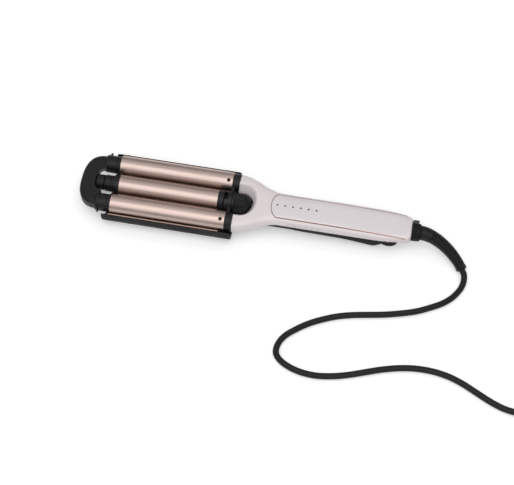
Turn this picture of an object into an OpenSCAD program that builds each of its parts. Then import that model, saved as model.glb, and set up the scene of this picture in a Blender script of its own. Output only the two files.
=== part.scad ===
// Hair waver: three fixed-pitch barrels on a slim handle, a hinged lower arm with a waved jaw,
// and a dial that lifts the middle barrel. Millimetres. X runs from the tip to the cord end,
// Y is the width, Z is up. Heights are measured from the surface that the waver lies on.

/* [Barrels] */
// Outer diameter of each barrel
barrel_d = 20.5; // [18:0.5:21.5]
// Wall of each barrel tube
barrel_wall = 1; // [0.6:0.1:1.4]
// Distance between neighbouring barrel axes
barrel_pitch = 23.5; // [23.5:0.5:26]
// Visible length of the two outer barrels
outer_len = 117.6; // [100:0.1:140]
// Step back of the middle barrel's tip end behind the outer ones
mid_setback = 3.75; // [3:0.25:5]
// Height of the barrel axes above the resting surface
axis_h = 22; // [21.5:0.5:25]

/* [Depth setting] */
// Rise of the middle barrel over the dial's whole turn
lift = 6; // [4:0.5:6]
// Diameter of the dial
dial_d = 23; // [22.5:0.5:24]
// Straight length of the dial's skirt
dial_skirt = 10; // [8:0.5:11]
// Length of the dial's domed end
dial_dome = 9.3; // [8:0.1:11]
// Length of the slotted guide in front of the dial
guide_len = 7.2; // [6.5:0.1:8]
// Diameter of the follower pin in the scroll groove
follower_d = 2.2; // [2:0.1:2.4]
// Running clearance of slides and pins
slide_gap = 0.15; // [0.1:0.05:0.25]

/* [Tip bridge] */
// Diameter of the two tip collars
tip_collar_d = 18; // [16:0.5:19]
// Length of the two tip collars
tip_collar_len = 13.25; // [12:0.25:15]
// Reach of the bow beyond the front of the tip collars
bow_reach = 20.25; // [18:0.25:21]
// Half of the bow's outer width
bow_half = 28.5; // [27:0.1:29]
// Squareness of the bow's outer edge, 2 for an ellipse
bow_power = 2.15; // [2:0.05:2.6]
// Half of the width of the opening inside the bow
bow_gap_half = 15.6; // [15:0.1:16]
// Squareness of the opening inside the bow
bow_gap_power = 2.6; // [2:0.1:3]
// Width of the bow at its middle
bow_w = 12.25; // [10:0.25:13.5]
// Thickness of the bow
bow_t = 14; // [12:0.5:16]
// Diameter of the middle barrel's tip neck
neck_d = 16.6; // [14:0.2:17]
// Height of the small side fins above the collars
fin_h = 2.4; // [1.5:0.1:3]

/* [Jaw] */
// Hair gap between the barrels and the plate
hair_gap = 1.55; // [1.2:0.05:2]
// Thickness of the waved plate
plate_t = 1.2; // [0.8:0.1:1.4]
// Radius of the plate's ridges
ridge_r = 2; // [1.6:0.1:2.4]
// Wall of the jaw outside the plate's edges
jaw_lip = 0.9; // [0.8:0.1:2]
// Radius of the jaw's lower corners
jaw_round = 16; // [14:0.5:18]
// Length of the jaw beyond the waved plate at the tip
jaw_nose = 8.4; // [6:0.1:9]
// Length of the waved plate
plate_len = 111.8; // [90:0.1:114]

/* [Handle] */
// Width of the grip
grip_w = 35.8; // [34:0.2:40]
// Height of the grip's crown above the barrel axes
crown_h = 8; // [7.5:0.1:9]
// Length of the handle from the fork's front face
handle_len = 177; // [170:1:190]
// Width across the fork's front
fork_w = 64.6; // [63:0.2:68]
// Length over which the fork narrows to the grip
fork_len = 46; // [42:1:52]
// Wall of the handle shells
shell_wall = 2.2; // [1.8:0.1:2.6]
// Thickness of the lower shell's floor
floor_t = 1.1; // [0.9:0.1:1.3]
// Gap of the dial in the fork
dial_clear = 0.9; // [0.6:0.1:1.4]

/* [Panel and controls] */
// Width of the top panel
panel_w = 26.6; // [24:0.2:28]
// Distance from the panel's end to the handle's end
panel_end_gap = 5; // [4:0.5:30]
// Thickness of the top panel
panel_t = 1.2; // [0.9:0.1:1.4]
// Width of the trim line round the panel
trim_w = 0.9; // [0.6:0.1:1.2]
// Diameter of each indicator light
light_d = 2; // [1.6:0.1:2.4]
// Distance between the indicator lights
light_pitch = 7.9; // [7:0.1:9]
// Length of each side button
button_len = 7.6; // [6:0.2:8]
// Height of each side button
button_h = 3.4; // [3:0.1:4]
// Travel of each side button
button_travel = 0.8; // [0.5:0.1:1]
// Clearance round each button
button_gap = 0.25; // [0.2:0.05:0.35]

/* [Lower arm and hinge] */
// Width of the lower arm
arm_w = 27; // [24:0.5:28]
// Radius of the hinge knuckle
knuckle_r = 8.5; // [8.2:0.1:8.6]
// Width of the hinge knuckle
knuckle_w = 18.4; // [17.5:0.1:19.5]
// Diameter of the hinge pin
hinge_pin_d = 4; // [3.4:0.1:4.6]
// Radial running clearance of the hinge pin
hinge_gap = 0.05; // [0.03:0.01:0.08]
// Travel of the hinge lock
lock_travel = 2.5; // [2.2:0.1:2.8]
// Diameter of the hinge spring's wire
spring_wire = 0.9; // [0.7:0.1:1]

/* [Cord] */
// Diameter of the cord
cord_d = 6.1; // [5.4:0.1:6.4]
// Diameter of the swivel core
swivel_d = 9; // [8.4:0.2:9.2]
// Length of the swivel's sleeve behind the handle
sleeve_len = 9.25; // [8:0.25:12]
// Number of turns in the cord's coil
coil_turns = 6.25; // [5.25:1:8.25]
// Inner radius of the coil, to the cord's centre
coil_inner_r = 21.2; // [20:0.1:26]
// Free gap between neighbouring turns
coil_gap = 0.5; // [0.45:0.05:0.8]

/* [Hidden] */
$fn = 64;
eps = 0.01;
face_gap = 0.3;      // between pieces that turn or slide past each other
fit_gap = 0.05;      // between pieces of one body that are pushed together
barrel_r = barrel_d / 2;
bore_r = barrel_r - barrel_wall;

// Stations along X. The fork's front face is the datum of the layout.
fork_x = -14;
handle_x = fork_x + handle_len;
bridge_len = 7.15;
base_x = fork_x - bridge_len;
tip_x = base_x - outer_len;
collar_x = tip_x - tip_collar_len;
dial_x = fork_x - 4;
dial_end = dial_x + dial_skirt + dial_dome;
guide_rear = dial_x - face_gap;
guide_x = guide_rear - guide_len;
cap_len = 6;
cap_rear = guide_x - 0.7;
mid_base = cap_rear - cap_len;
mid_tip = tip_x + mid_setback;
spigot_len = 8;
mid_ring_len = 4.2;
mid_ring_x = mid_tip - mid_ring_len;
neck_x = mid_ring_x - 9.5;

// Waved section. A trough runs round each barrel and a ridge rises between two barrels.
trough_r = barrel_r + hair_gap;
ridge_z = -sqrt(pow(trough_r + ridge_r, 2) - pow(barrel_pitch / 2, 2));
jaw_half = barrel_pitch + trough_r + plate_t + jaw_lip;
plate_x1 = base_x - 5.35;
plate_x0 = plate_x1 - plate_len;
jaw_x0 = plate_x0 - jaw_nose;
jaw_x1 = fork_x - face_gap;

// Tip bow. Its ends lie inside the collars.
bow_gap_x = collar_x + 2;
bow_round = 4;
tip_pin_d = 3.6;
tip_pin_z = -2;
bow_inner_x = collar_x - bow_reach + bow_w;
tip_pin_depth = 4;

// Scroll cam: the groove's radius grows at a steady rate over half a turn.
scroll_r0 = 2.6;
scroll_span = 180;
scroll_depth = 2.4;
scroll_half = follower_d / 2 + 0.1;
dial_shaft_d = 6;
dial_shaft_len = 6;

// Handle form
grip_half = grip_w / 2;
fork_half = fork_w / 2;
fork_crown = 9;
shell_bottom = -3.5;
taper_x = handle_x - 48;
taper_w = 4.5;
end_round = 2;
cavity_x0 = 24;
cavity_x1 = handle_x - 5;
tail_step = handle_x - 11.6;
plate_floor = shell_bottom - floor_t;
lower_x0 = 12;
lower_x1 = tail_step - 1;
arm_top = plate_floor - 1;

// Hinge
hinge_x = handle_x - 21;
hinge_z = knuckle_r - axis_h;
lug_w = 4;
lug_r = 6.2;
slot_r = lug_r + 0.4;
slot_half = 4.3;

// Panel
panel_x0 = 22;
panel_x1 = handle_x - panel_end_gap;
panel_round = 7;
panel_proud = 0.25;
light_x0 = panel_x0 + 5.5;
light_count = 6;
board_z = 1.5;
board_t = 1.6;

// Side buttons on the near wall
button_z = 1;
button_xs = [44.8, 56.6, 68.7];
button_proud = 0.5;
flange_t = 0.8;
flange_lip = 1;
switch_y = -grip_half + 6.5;

// Cord. The route's points are on the surface beside the waver, at the cord's centre.
swivel_z = -2.5;
sleeve_x1 = handle_x + sleeve_len;
relief_x = sleeve_x1 + 0.1;
relief_r0 = 7.4;
relief_r1 = 4.9;
relief_ribs = 11;
relief_end = [217.5, -26, 5.4];
relief_pull = [210, -12, 7];
relief_push = 17.5;
coil_x = 330;
coil_entry = [322, -170, 3.75];
cord_route = [
    relief_end, [220.5, -31.5, 4.7], [221, -38, 3.7], [219.5, -45, 3.1], [216, -52, 3.1],
    [210.5, -59.5, 3.1], [202, -67, 3.1], [191, -73.5, 3.1], [178, -80, 3.1], [163, -85, 3.1],
    [148, -89, 3.1], [133, -92, 3.1], [118, -95, 3.1], [104, -99, 3.1], [91, -104.5, 3.1],
    [78, -111.5, 3.1], [66.5, -120, 3.1], [57, -129, 3.1], [52, -138.5, 3.1], [51.5, -148, 3.1],
    [56.5, -155, 3.1], [66, -160.5, 3.1], [78, -164, 3.1], [92, -165, 3.1], [107, -163, 3.1],
    [122, -159, 3.1], [137, -153.5, 3.1], [152, -148, 3.1], [168, -143.5, 3.1], [184, -141, 3.1],
    [200, -141, 3.1], [215, -143.5, 3.1], [229, -148.5, 3.1], [243, -155.5, 3.1], [257, -162.5, 3.1],
    [271, -167.5, 3.1], [288, -169.5, 3.1], [305, -170, 3.3], coil_entry
];
coil_pitch = cord_d + coil_gap;
coil_outer_r = coil_inner_r + coil_turns / 2 * coil_pitch;
coil_c = [coil_x, coil_entry[1] + coil_outer_r];
coil_z = coil_entry[2];
coil_end_angle = -90 + coil_turns * 360;
coil_rings = 24;
tie_t = 0.5;
tie_w = 9;
tie_angle = 150;
plug_z = 7;
plug_lead = 22;

echo(coil_length = path_length(coil_path()), cord_length = path_length(cord_route));
echo(coil_least_gap = coil_least_gap());

// ---------- helpers ----------

// Smooth step from 0 at a to 1 at b
function ease(x, a, b) = x <= a ? 0 : x >= b ? 1 : (1 - cos(180 * (x - a) / (b - a))) / 2;

function unit(v) = v / norm(v);

function path_length(p) = len(p) < 2 ? 0 : [for (i = [0:len(p) - 2]) norm(p[i + 1] - p[i])]
    * [for (i = [0:len(p) - 2]) 1];

// Round bar along X, given heights above the barrel axes
module bar_x(x0, x1, d, y = 0, z = 0) {
    translate([x0, y, axis_h + z]) rotate([0, 90, 0]) cylinder(h = x1 - x0, d = d);
}

// Round bar along Y
module bar_y(y0, y1, d, x, z) {
    translate([x, y0, axis_h + z]) rotate([-90, 0, 0]) cylinder(h = y1 - y0, d = d);
}

// Round bar along Z
module bar_z(z0, z1, d, x, y) {
    translate([x, y, axis_h + z0]) cylinder(h = z1 - z0, d = d);
}

// Box between two corners, given as ranges on X, Y and Z
module block(x, y, z) {
    translate([x[0], y[0], axis_h + z[0]]) cube([x[1] - x[0], y[1] - y[0], z[1] - z[0]]);
}

// Section in Y and Z carried along X
module along_x(x0, x1) {
    translate([x0, 0, axis_h]) rotate([90, 0, 90]) linear_extrude(x1 - x0) children();
}

// Profile in radius and X turned about an axis along X
module turned_x(y = 0, z = 0) {
    translate([0, y, axis_h + z]) rotate([0, 90, 0]) rotate_extrude() children();
}

module rounded_rect(w, h, r) {
    square([w - 2 * r, h], center = true);
    square([w, h - 2 * r], center = true);
    for (i = [-1, 1], j = [-1, 1]) translate([i * (w / 2 - r), j * (h / 2 - r)]) circle(r);
}

// Closed skin over rings of points that run in the same sense
module skin(rings) {
    n = len(rings);
    m = len(rings[0]);
    polyhedron(
        points = [for (ring = rings) each ring],
        faces = concat(
            [[for (j = [0:m - 1]) j]],
            [for (i = [0:n - 2], j = [0:m - 1]) each [
                [i * m + j, (i + 1) * m + (j + 1) % m, i * m + (j + 1) % m],
                [i * m + j, (i + 1) * m + j, (i + 1) * m + (j + 1) % m]]],
            [[for (j = [m - 1:-1:0]) (n - 1) * m + j]]
        ));
}

// Tangent of a path at point i
function tangent(p, i) = unit(
    i == 0 ? p[1] - p[0] :
    i == len(p) - 1 ? p[i] - p[i - 1] :
    unit(p[i] - p[i - 1]) + unit(p[i + 1] - p[i]));

// Ring of m points about a point of a path, at radius r
function ring_at(c, t, r, m) =
    let (side = unit(cross([0, 0, 1], t)), up = cross(t, side))
    [for (j = [0:m - 1]) c + r * (cos(360 * j / m) * side + sin(360 * j / m) * up)];

module tube(p, d, m) {
    skin([for (i = [0:len(p) - 1]) ring_at(p[i], tangent(p, i), d / 2, m)]);
}

// ---------- barrels and their ends ----------

module barrel_tube(x0, x1, y) {
    difference() {
        bar_x(x0, x1, barrel_d, y);
        bar_x(x0 - 1, x1 + 1, bore_r * 2, y);
    }
}

screw_tilt = 22;     // the barrel screws lean towards the near side
screw_x = base_x - 4.3;
screw_head_d = 3.6;

// Places its children on a barrel's skin at the screw hole, pointing outwards
module at_barrel_screw(side) {
    translate([screw_x, side * barrel_pitch, axis_h]) rotate([screw_tilt, 0, 0]) children();
}

module outer_barrel(side) {
    color([0.80, 0.66, 0.60])
    difference() {
        barrel_tube(tip_x, base_x, side * barrel_pitch);
        at_barrel_screw(side) cylinder(h = barrel_r + 1, d = screw_head_d + 0.2);
    }
}

module near_barrel() outer_barrel(-1);

module far_barrel() outer_barrel(1);

module barrel_screws() {
    color([0.12, 0.12, 0.13])
    for (side = [-1, 1]) at_barrel_screw(side) {
        translate([0, 0, bore_r - fit_gap]) cylinder(h = barrel_wall - 0.1, d = screw_head_d);
        translate([0, 0, bore_r - 5]) cylinder(h = 5, d = 1.8);
    }
}

module middle_barrel() {
    color([0.80, 0.66, 0.60]) barrel_tube(mid_tip, mid_base, 0);
}

// Flat ceramic heater between two half-round spreaders
heater_w = 13;
heater_t = 2.4;

module heater(x0, x1, y) {
    block([x0 + 18, x1 - 18], [y - heater_w / 2, y + heater_w / 2], [-heater_t / 2, heater_t / 2]);
}

module spreaders(x0, x1, y) {
    difference() {
        bar_x(x0 + 14, x1 - 14, (bore_r - fit_gap) * 2, y);
        block([x0, x1], [y - barrel_r, y + barrel_r], [-heater_t / 2, heater_t / 2]);
    }
}

module outer_heaters() {
    color([0.86, 0.86, 0.82]) for (side = [-1, 1]) heater(tip_x, base_x, side * barrel_pitch);
}

module outer_spreaders() {
    color([0.75, 0.76, 0.78]) for (side = [-1, 1]) spreaders(tip_x, base_x, side * barrel_pitch);
}

module middle_heater() {
    color([0.86, 0.86, 0.82]) heater(mid_tip, mid_base, 0);
}

module middle_spreaders() {
    color([0.75, 0.76, 0.78]) spreaders(mid_tip, mid_base, 0);
}

bow_steps = 28;

// Place on the bow's outer or inner edge, at an angle from the tip
function bow_edge(a, x, reach, half, power) =
    [x - reach * pow(cos(a), 2 / power), sign(a) * half * pow(abs(sin(a)), 2 / power)];

// Rounded section of the bow between its outer and its inner edge
function bow_ring(a) =
    let (o = bow_edge(a, collar_x, bow_reach, bow_half, bow_power),
        i = bow_edge(a, bow_gap_x, bow_gap_x - bow_inner_x, bow_gap_half, bow_gap_power),
        w = norm(i - o), e = (i - o) / w, r = bow_round, h = bow_t / 2 - bow_round,
        flat = concat(corner(w - r, h, r, 0, 4), corner(r, h, r, 90, 4),
            corner(r, -h, r, 180, 4), corner(w - r, -h, r, 270, 4)))
    [for (q = flat) [o[0] + e[0] * q[0], o[1] + e[1] * q[0], axis_h + q[1]]];

// Bow that joins the two tip collars round the middle barrel's end
module tip_bridge() {
    color([0.14, 0.14, 0.16])
    difference() {
        union() {
            skin([for (k = [0:bow_steps]) bow_ring(90 - 180 * k / bow_steps)]);
            for (side = [-1, 1]) {
                turned_x(side * barrel_pitch) tip_collar_profile();
                fin(side);
            }
        }
        // slot that guides the middle barrel's tip pin
        block([bow_inner_x - tip_pin_depth - 0.5, bow_inner_x + 4],
            [-tip_pin_d / 2 - slide_gap, tip_pin_d / 2 + slide_gap],
            [tip_pin_z - tip_pin_d / 2 - slide_gap, tip_pin_z + tip_pin_d / 2 + lift + slide_gap]);
    }
}

module tip_collar_profile() {
    r = tip_collar_d / 2;
    polygon([[0, collar_x - 2.6], [r - 2.6, collar_x - 2.6], [r - 0.8, collar_x - 1.2], [r, collar_x],
        [r, tip_x - fit_gap], [bore_r - fit_gap, tip_x - fit_gap],
        [bore_r - fit_gap, tip_x + spigot_len], [0, tip_x + spigot_len]]);
}

module fin(side) {
    base = barrel_pitch + tip_collar_d / 2 - 1.2;
    translate([collar_x + 2.4, side * base, axis_h - 1.6]) linear_extrude(3.2)
        polygon([[-2.6, 0], [2.6, 0], [0.6, side * (fin_h + 1.2)], [-0.2, side * (fin_h + 1.2)]]);
}

module middle_tip_cap() {
    color([0.13, 0.13, 0.14]) {
        turned_x() polygon([[0, neck_x], [neck_d / 2 - 0.6, neck_x], [neck_d / 2, neck_x + 0.6],
            [neck_d / 2, mid_ring_x], [barrel_r - 0.4, mid_ring_x], [barrel_r - 0.2, mid_ring_x + 0.4],
            [barrel_r - 0.2, mid_tip - fit_gap], [bore_r - fit_gap, mid_tip - fit_gap],
            [bore_r - fit_gap, mid_tip + spigot_len], [0, mid_tip + spigot_len]]);
        // guide plate and eccentric pin that slides in the bow
        along_x(neck_x - 3.2, neck_x - 1.2) translate([0, tip_pin_z]) rounded_rect(8, 11, 2);
        bar_x(bow_inner_x - tip_pin_depth, neck_x + 1, tip_pin_d, 0, tip_pin_z);
    }
}

// Black bridge at the barrels' base: two collars, a cross web and the slotted guide of the lift
tongue_half = 4;
tongue_x = cap_rear + 3.6;
tongue_z = [-6, 4.4];
channel_x = tongue_x + 0.2;

module base_bridge() {
    color([0.11, 0.11, 0.12])
    difference() {
        union() {
            for (side = [-1, 1]) {
                turned_x(side * barrel_pitch) base_collar_profile();
                block([base_x, guide_rear], side < 0 ? [-barrel_pitch, 0] : [0, barrel_pitch], [-5.5, 5.5]);
            }
            bar_x(guide_x, guide_rear, dial_d - 1);
        }
        // channel for the lift's tongue and slot for the follower pin
        block([guide_x - 1, channel_x], [-tongue_half - slide_gap, tongue_half + slide_gap],
            [tongue_z[0] - 0.4, dial_d]);
        block([channel_x - 1, guide_rear + 1], [-scroll_half - slide_gap, scroll_half + slide_gap],
            [scroll_r0 - scroll_half - slide_gap, scroll_r0 + lift + scroll_half + slide_gap]);
        for (side = [-1, 1]) {
            at_barrel_screw(side) cylinder(h = barrel_r, d = 1.8);
            bar_x(fork_x - 3, fork_x + 9, 2.6, side * barrel_pitch);
        }
    }
}

base_collar_d = barrel_d - 0.9;
peg_d = 12;
peg_len = 6;

module base_collar_profile() {
    polygon([[0, base_x - spigot_len], [bore_r - fit_gap, base_x - spigot_len],
        [bore_r - fit_gap, base_x + fit_gap], [base_collar_d / 2, base_x + fit_gap],
        [base_collar_d / 2, fork_x - fit_gap], [peg_d / 2, fork_x - fit_gap],
        [peg_d / 2, fork_x + peg_len], [0, fork_x + peg_len]]);
}

// Long screws that draw the bridge's pegs into the fork's arms, reached from below
module bridge_screws() {
    color([0.55, 0.55, 0.57])
    for (side = [-1, 1]) {
        bar_x(fork_x - 3, fork_x + 8.5, 2.6, side * barrel_pitch);
    }
}

module middle_base_cap() {
    color([0.12, 0.12, 0.13])
    difference() {
        union() {
            turned_x() polygon([[0, mid_base - spigot_len], [bore_r - fit_gap, mid_base - spigot_len],
                [bore_r - fit_gap, mid_base + fit_gap], [barrel_r, mid_base + fit_gap],
                [barrel_r, cap_rear - 0.5], [barrel_r - 0.5, cap_rear], [0, cap_rear]]);
            block([cap_rear - 1, tongue_x], [-tongue_half, tongue_half], tongue_z);
        }
        bar_x(cap_rear, tongue_x + 1, follower_d, 0, scroll_r0);
    }
}

module follower_pin() {
    color([0.75, 0.75, 0.77])
        bar_x(cap_rear, dial_x + scroll_depth - 0.3, follower_d, 0, scroll_r0);
}

// ---------- depth dial ----------

function scroll_radius(a) = scroll_r0 + lift * (90 - a) / scroll_span;

// Point on one edge of the scroll groove; e is -1 for the inner edge and 1 for the outer
function scroll_edge(a, e) =
    let (r = scroll_radius(a), slope = -lift / scroll_span * 180 / PI,
        radial = [cos(a), sin(a)], around = [-sin(a), cos(a)],
        normal = unit(r * radial - slope * around))
    r * radial + e * scroll_half * normal;

module scroll_groove() {
    step = 6;
    polygon(concat(
        [for (a = [90:-step:90 - scroll_span]) scroll_edge(a, 1)],
        [for (a = [90 - scroll_span:step:90]) scroll_edge(a, -1)]));
    for (a = [90, 90 - scroll_span]) rotate(a) translate([scroll_radius(a), 0]) circle(scroll_half);
}

module dial_profile() {
    r = dial_d / 2;
    steps = 10;
    polygon(concat([[0, dial_x], [r - 0.4, dial_x], [r, dial_x + 0.4]],
        [for (i = [0:steps - 1]) let (a = 90 * i / steps)
            [r * cos(a), dial_x + dial_skirt + dial_dome * sin(a)]],
        [[dial_shaft_d / 2, dial_end - 0.15], [dial_shaft_d / 2, dial_end + dial_shaft_len],
        [0, dial_end + dial_shaft_len]]));
}

module depth_dial() {
    color([0.10, 0.10, 0.11])
    difference() {
        union() {
            turned_x() dial_profile();
            intersection() {
                turned_x() translate([0, 0]) ridge_profile();
                block([dial_x + 1, dial_end - 1], [-3, 3], [0, dial_d]);
            }
        }
        along_x(dial_x - 1, dial_x + scroll_depth) scroll_groove();
        for (side = [-1, 1]) thumb_flat(side);
    }
}

// Envelope of the raised thumb ridge
module ridge_profile() {
    r = dial_d / 2 + 0.7;
    steps = 10;
    polygon(concat([[0, dial_x + 1], [r, dial_x + 1]],
        [for (i = [0:steps]) let (a = 90 * i / steps)
            [r * cos(a), dial_x + dial_skirt + (dial_dome - 1) * sin(a)]]));
}

// Scooped grip flat beside the ridge, with fine ribs left standing across it
rib_count = 5;
rib_pitch = 2.2;
rib_w = 0.7;

module thumb_flat(side) {
    flat = dial_d / 2;
    difference() {
        translate([dial_x + 2, side * 3, axis_h + flat - 0.6]) rotate([side < 0 ? 49 : -49, 0, 0])
            translate([0, side < 0 ? -16 : 0, 0]) cube([dial_end - dial_x, 16, 8]);
        for (i = [0:rib_count - 1]) intersection() {
            block([dial_x + 3 + i * rib_pitch, dial_x + 3 + i * rib_pitch + rib_w],
                [-dial_d, dial_d], [0, dial_d]);
            bar_x(dial_x, dial_end, dial_d - 1.6);
        }
    }
}

// ---------- handle ----------

function fork_share(x) = 1 - ease(x, fork_x, fork_x + fork_len);

function bottom_share(x) = 1 - ease(x, fork_x, fork_x + 36);

function tail_share(x) = ease(x, tail_step - 0.6, tail_step);

function form_half(x) = grip_half + (fork_half - grip_half) * fork_share(x)
    - (x > taper_x ? taper_w * pow((x - taper_x) / 48, 3) : 0)
    - (x > handle_x - 3 ? end_round * pow((x - handle_x + 3) / 3, 2) : 0);

function form_top(x) = crown_h + (fork_crown - crown_h) * (1 - ease(x, fork_x, fork_x + 34))
    - 2.3 * ease(x, handle_x - 83, handle_x) - (x > handle_x - 3 ? 0.6 * pow((x - handle_x + 3) / 3, 2) : 0);

function form_power(x) = 2.6 + 1.4 * fork_share(x);

function form_bottom(x) = shell_bottom - 5 * bottom_share(x) - 5.6 * tail_share(x);

function form_depth(x) = -form_bottom(x) + 2 - 1.3 * bottom_share(x) - 1 * tail_share(x);

form_steps = 14;
side_steps = 4;

// Section of the handle at x, grown outwards by g
function form_section(x, g) =
    let (a = form_half(x) + g, t = form_top(x) + g, n = form_power(x), q = form_depth(x) + g,
        zb = form_bottom(x) - g, low = asin(pow(-zb / q, n / 2)))
    concat(
        [for (i = [0:form_steps]) let (f = 180 * i / form_steps, c = cos(f), s = sin(f))
            [x, a * sign(c) * pow(abs(c), 2 / n), axis_h + t * pow(abs(s), 2 / n)]],
        [for (i = [1:side_steps]) let (f = low * i / side_steps)
            [x, -a * pow(cos(f), 2 / n), axis_h - q * pow(sin(f), 2 / n)]],
        [for (i = [side_steps:-1:1]) let (f = low * i / side_steps)
            [x, a * pow(cos(f), 2 / n), axis_h - q * pow(sin(f), 2 / n)]]);

form_xs = concat(
    [for (i = [0:9]) fork_x + fork_len * i / 9],
    [62, 92, taper_x, taper_x + 16, taper_x + 28],
    [tail_step - 0.6, tail_step, tail_step + 5, handle_x - 3, handle_x - 1.5, handle_x - 0.5, handle_x]);

module handle_form(g = 0) {
    skin([for (x = form_xs) form_section(x, g)]);
}

// Plan of the panel: a long strip with a rounded front, grown by g
module panel_plan(g = 0) {
    half = panel_w / 2 + g;
    steps = 8;
    polygon(concat([[panel_x1 + g, half], [panel_x0 + panel_round, half]],
        [for (i = [1:2 * steps - 1]) let (a = 90 - 90 * i / steps)
            [panel_x0 + panel_round - (panel_round + g) * cos(a), half * sin(a)]],
        [[panel_x0 + panel_round, -half], [panel_x1 + g, -half]]));
}

module panel_prism(g = 0) {
    translate([0, 0, axis_h]) linear_extrude(30) panel_plan(g);
}

module control_panel() {
    color([0.88, 0.84, 0.84])
    difference() {
        intersection() {
            handle_form(panel_proud);
            panel_prism();
        }
        handle_form(panel_proud - panel_t);
        lights_at(light_d + 0.1, 0, 20);
    }
}

module panel_trim() {
    color([0.78, 0.58, 0.50])
    difference() {
        intersection() {
            handle_form(panel_proud + 0.15);
            panel_prism(fit_gap + trim_w);
        }
        handle_form(panel_proud - panel_t);
        panel_prism(fit_gap);
        block([panel_x1 - 1, handle_x], [-grip_w, grip_w], [0, 30]);
    }
}

module lights_at(d, z0, z1) {
    for (i = [0:light_count - 1]) bar_z(z0, z1, d, light_x0 + i * light_pitch, 0);
}

module indicator_lights() {
    color([0.95, 0.95, 0.97])
        lights_at(light_d, board_z + board_t, crown_h + panel_proud + 0.1);
}

// U-shaped room for the dial between the fork's arms, with its edges rounded over
lip_round = 5;
lip_slope = 58.3;
lip_z = -2.1;

module dial_room() {
    r = dial_d / 2 + dial_clear;
    cx = dial_end + dial_clear + 0.8 - r;
    cz = fork_crown - lip_round;
    cr = r + (cz + lip_round * cos(lip_slope) - lip_z) / tan(lip_slope) + lip_round * sin(lip_slope);
    steps = 6;
    edge = [for (i = [0:steps]) let (a = 90 + lip_slope * (1 - i / steps))
        [cr + lip_round * cos(a), cz + lip_round * sin(a)]];
    side = concat([[0, -30], [r, -30], [r, lip_z]], edge, [[cr, 30], [0, 30]]);
    translate([cx, 0, axis_h]) rotate_extrude() polygon(side);
    along_x(fork_x - 1, cx) for (m = [0, 1]) mirror([m, 0]) polygon(side);
}

module handle_upper_shell() {
    color([0.88, 0.84, 0.84])
    difference() {
        handle_form();
        intersection() {
            handle_form(-shell_wall);
            block([cavity_x0, cavity_x1], [-grip_w, grip_w], [-30, 30]);
        }
        block([cavity_x0, lower_x1 - 1], [-grip_half + 4.8, grip_half - 4.8], [-30, 0]);
        difference() {
            panel_prism(fit_gap * 2 + trim_w);
            handle_form(panel_proud - panel_t - fit_gap);
        }
        dial_room();
        bar_x(dial_end, dial_end + dial_shaft_len + 2, dial_shaft_d + 2 * hinge_gap);
        block([lower_x0 - 0.1, lower_x1 + 0.1], [-floor_half - 0.1, floor_half + 0.1], [-30, shell_bottom]);
        block([fork_x - 1, lower_x0], [-arm_w / 2 - 0.8, arm_w / 2 + 0.8], [-30, plate_floor]);
        for (side = [-1, 1]) bar_x(fork_x - 1, fork_x + peg_len + 3, peg_d + 2 * fit_gap, side * barrel_pitch);
        lights_at(light_d + 0.1, 0, 20);
        for (x = button_xs) button_hole(x);
        lock_room();
        bar_x(cavity_x1 - 2, handle_x + 1, sleeve_spigot_d + 2 * fit_gap, 0, swivel_z);
        for (p = shell_screw_at) bar_z(shell_bottom - 1, 3, 2.2, p[0], p[1]);
    }
    color([0.88, 0.84, 0.84]) shell_bosses();
}

floor_half = grip_half - 2.6;
boss_x = handle_x - 45;
shell_screw_at = [[18, -8], [18, 8], [boss_x, -9], [boss_x, 9]];

// Screw posts that hang from the shell's roof
module shell_bosses() {
    difference() {
        intersection() {
            handle_form(-shell_wall + 0.2);
            for (side = [-1, 1]) bar_z(shell_bottom + 1.1, 20, 6, boss_x, side * 9);
        }
        for (side = [-1, 1]) bar_z(shell_bottom, 3, 2.2, boss_x, side * 9);
    }
}

module handle_lower_shell() {
    color([0.12, 0.12, 0.13])
    difference() {
        union() {
            block([lower_x0, lower_x1], [-floor_half, floor_half], [plate_floor, shell_bottom]);
            difference() {
                block([cavity_x0 + 0.3, lower_x1 - 1.3], [-grip_half + 5, grip_half - 5],
                    [shell_bottom - eps, shell_bottom + 1]);
                block([cavity_x0 + 2, lower_x1 - 3], [-grip_half + 6.6, grip_half - 6.6],
                    [shell_bottom, shell_bottom + 2]);
                block([lock_x[0] - 0.5, lower_x1], [lock_y[0] - 0.5, grip_half], [shell_bottom, 2]);
            }
            // lug that drops between the knuckle's cheeks
            bar_y(-lug_w, 0, lug_r * 2, hinge_x, hinge_z);
            block([hinge_x - 3.5, hinge_x + 3.5], [-lug_w, 0], [hinge_z, plate_floor + eps]);
        }
        bar_y(-lug_w - 1, 1, hinge_pin_d, hinge_x, hinge_z);
        for (p = shell_screw_at) {
            bar_z(plate_floor - 1, shell_bottom + 2, 2.4, p[0], p[1]);
            bar_z(plate_floor - 1, plate_floor + 0.6, screw_cap_d + 0.2, p[0], p[1]);
        }
        block([lock_x[0] - 0.3, lock_x[0] + lock_len + lock_travel + 0.3],
            [lock_y[0] - 0.3, lock_y[1] + 0.3], [-30, 30]);
    }
}

screw_cap_d = 4.4;

module shell_screws() {
    color([0.60, 0.60, 0.62])
    for (p = shell_screw_at) {
        bar_z(plate_floor, plate_floor + 0.6, screw_cap_d, p[0], p[1]);
        bar_z(plate_floor + 0.5, 3, 2.2, p[0], p[1]);
    }
}

board_x1 = boss_x - 8;
switch_t = 0.4;

module circuit_board() {
    color([0.10, 0.35, 0.20])
    difference() {
        union() {
            block([cavity_x0 + 1.5, board_x1], [switch_y + switch_t, grip_half - 6.9],
                [board_z, board_z + board_t]);
            block([board_x1 - 32, board_x1 - 14], [-6, 6], [board_z - 3.5, board_z]);
            block([cavity_x0 + 10, cavity_x0 + 18], [1, 7], [board_z - 2, board_z]);
        }
        bar_z(board_z - 1, board_z + 4, 2.6, board_x1 - 6, 7);
    }
}

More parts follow.
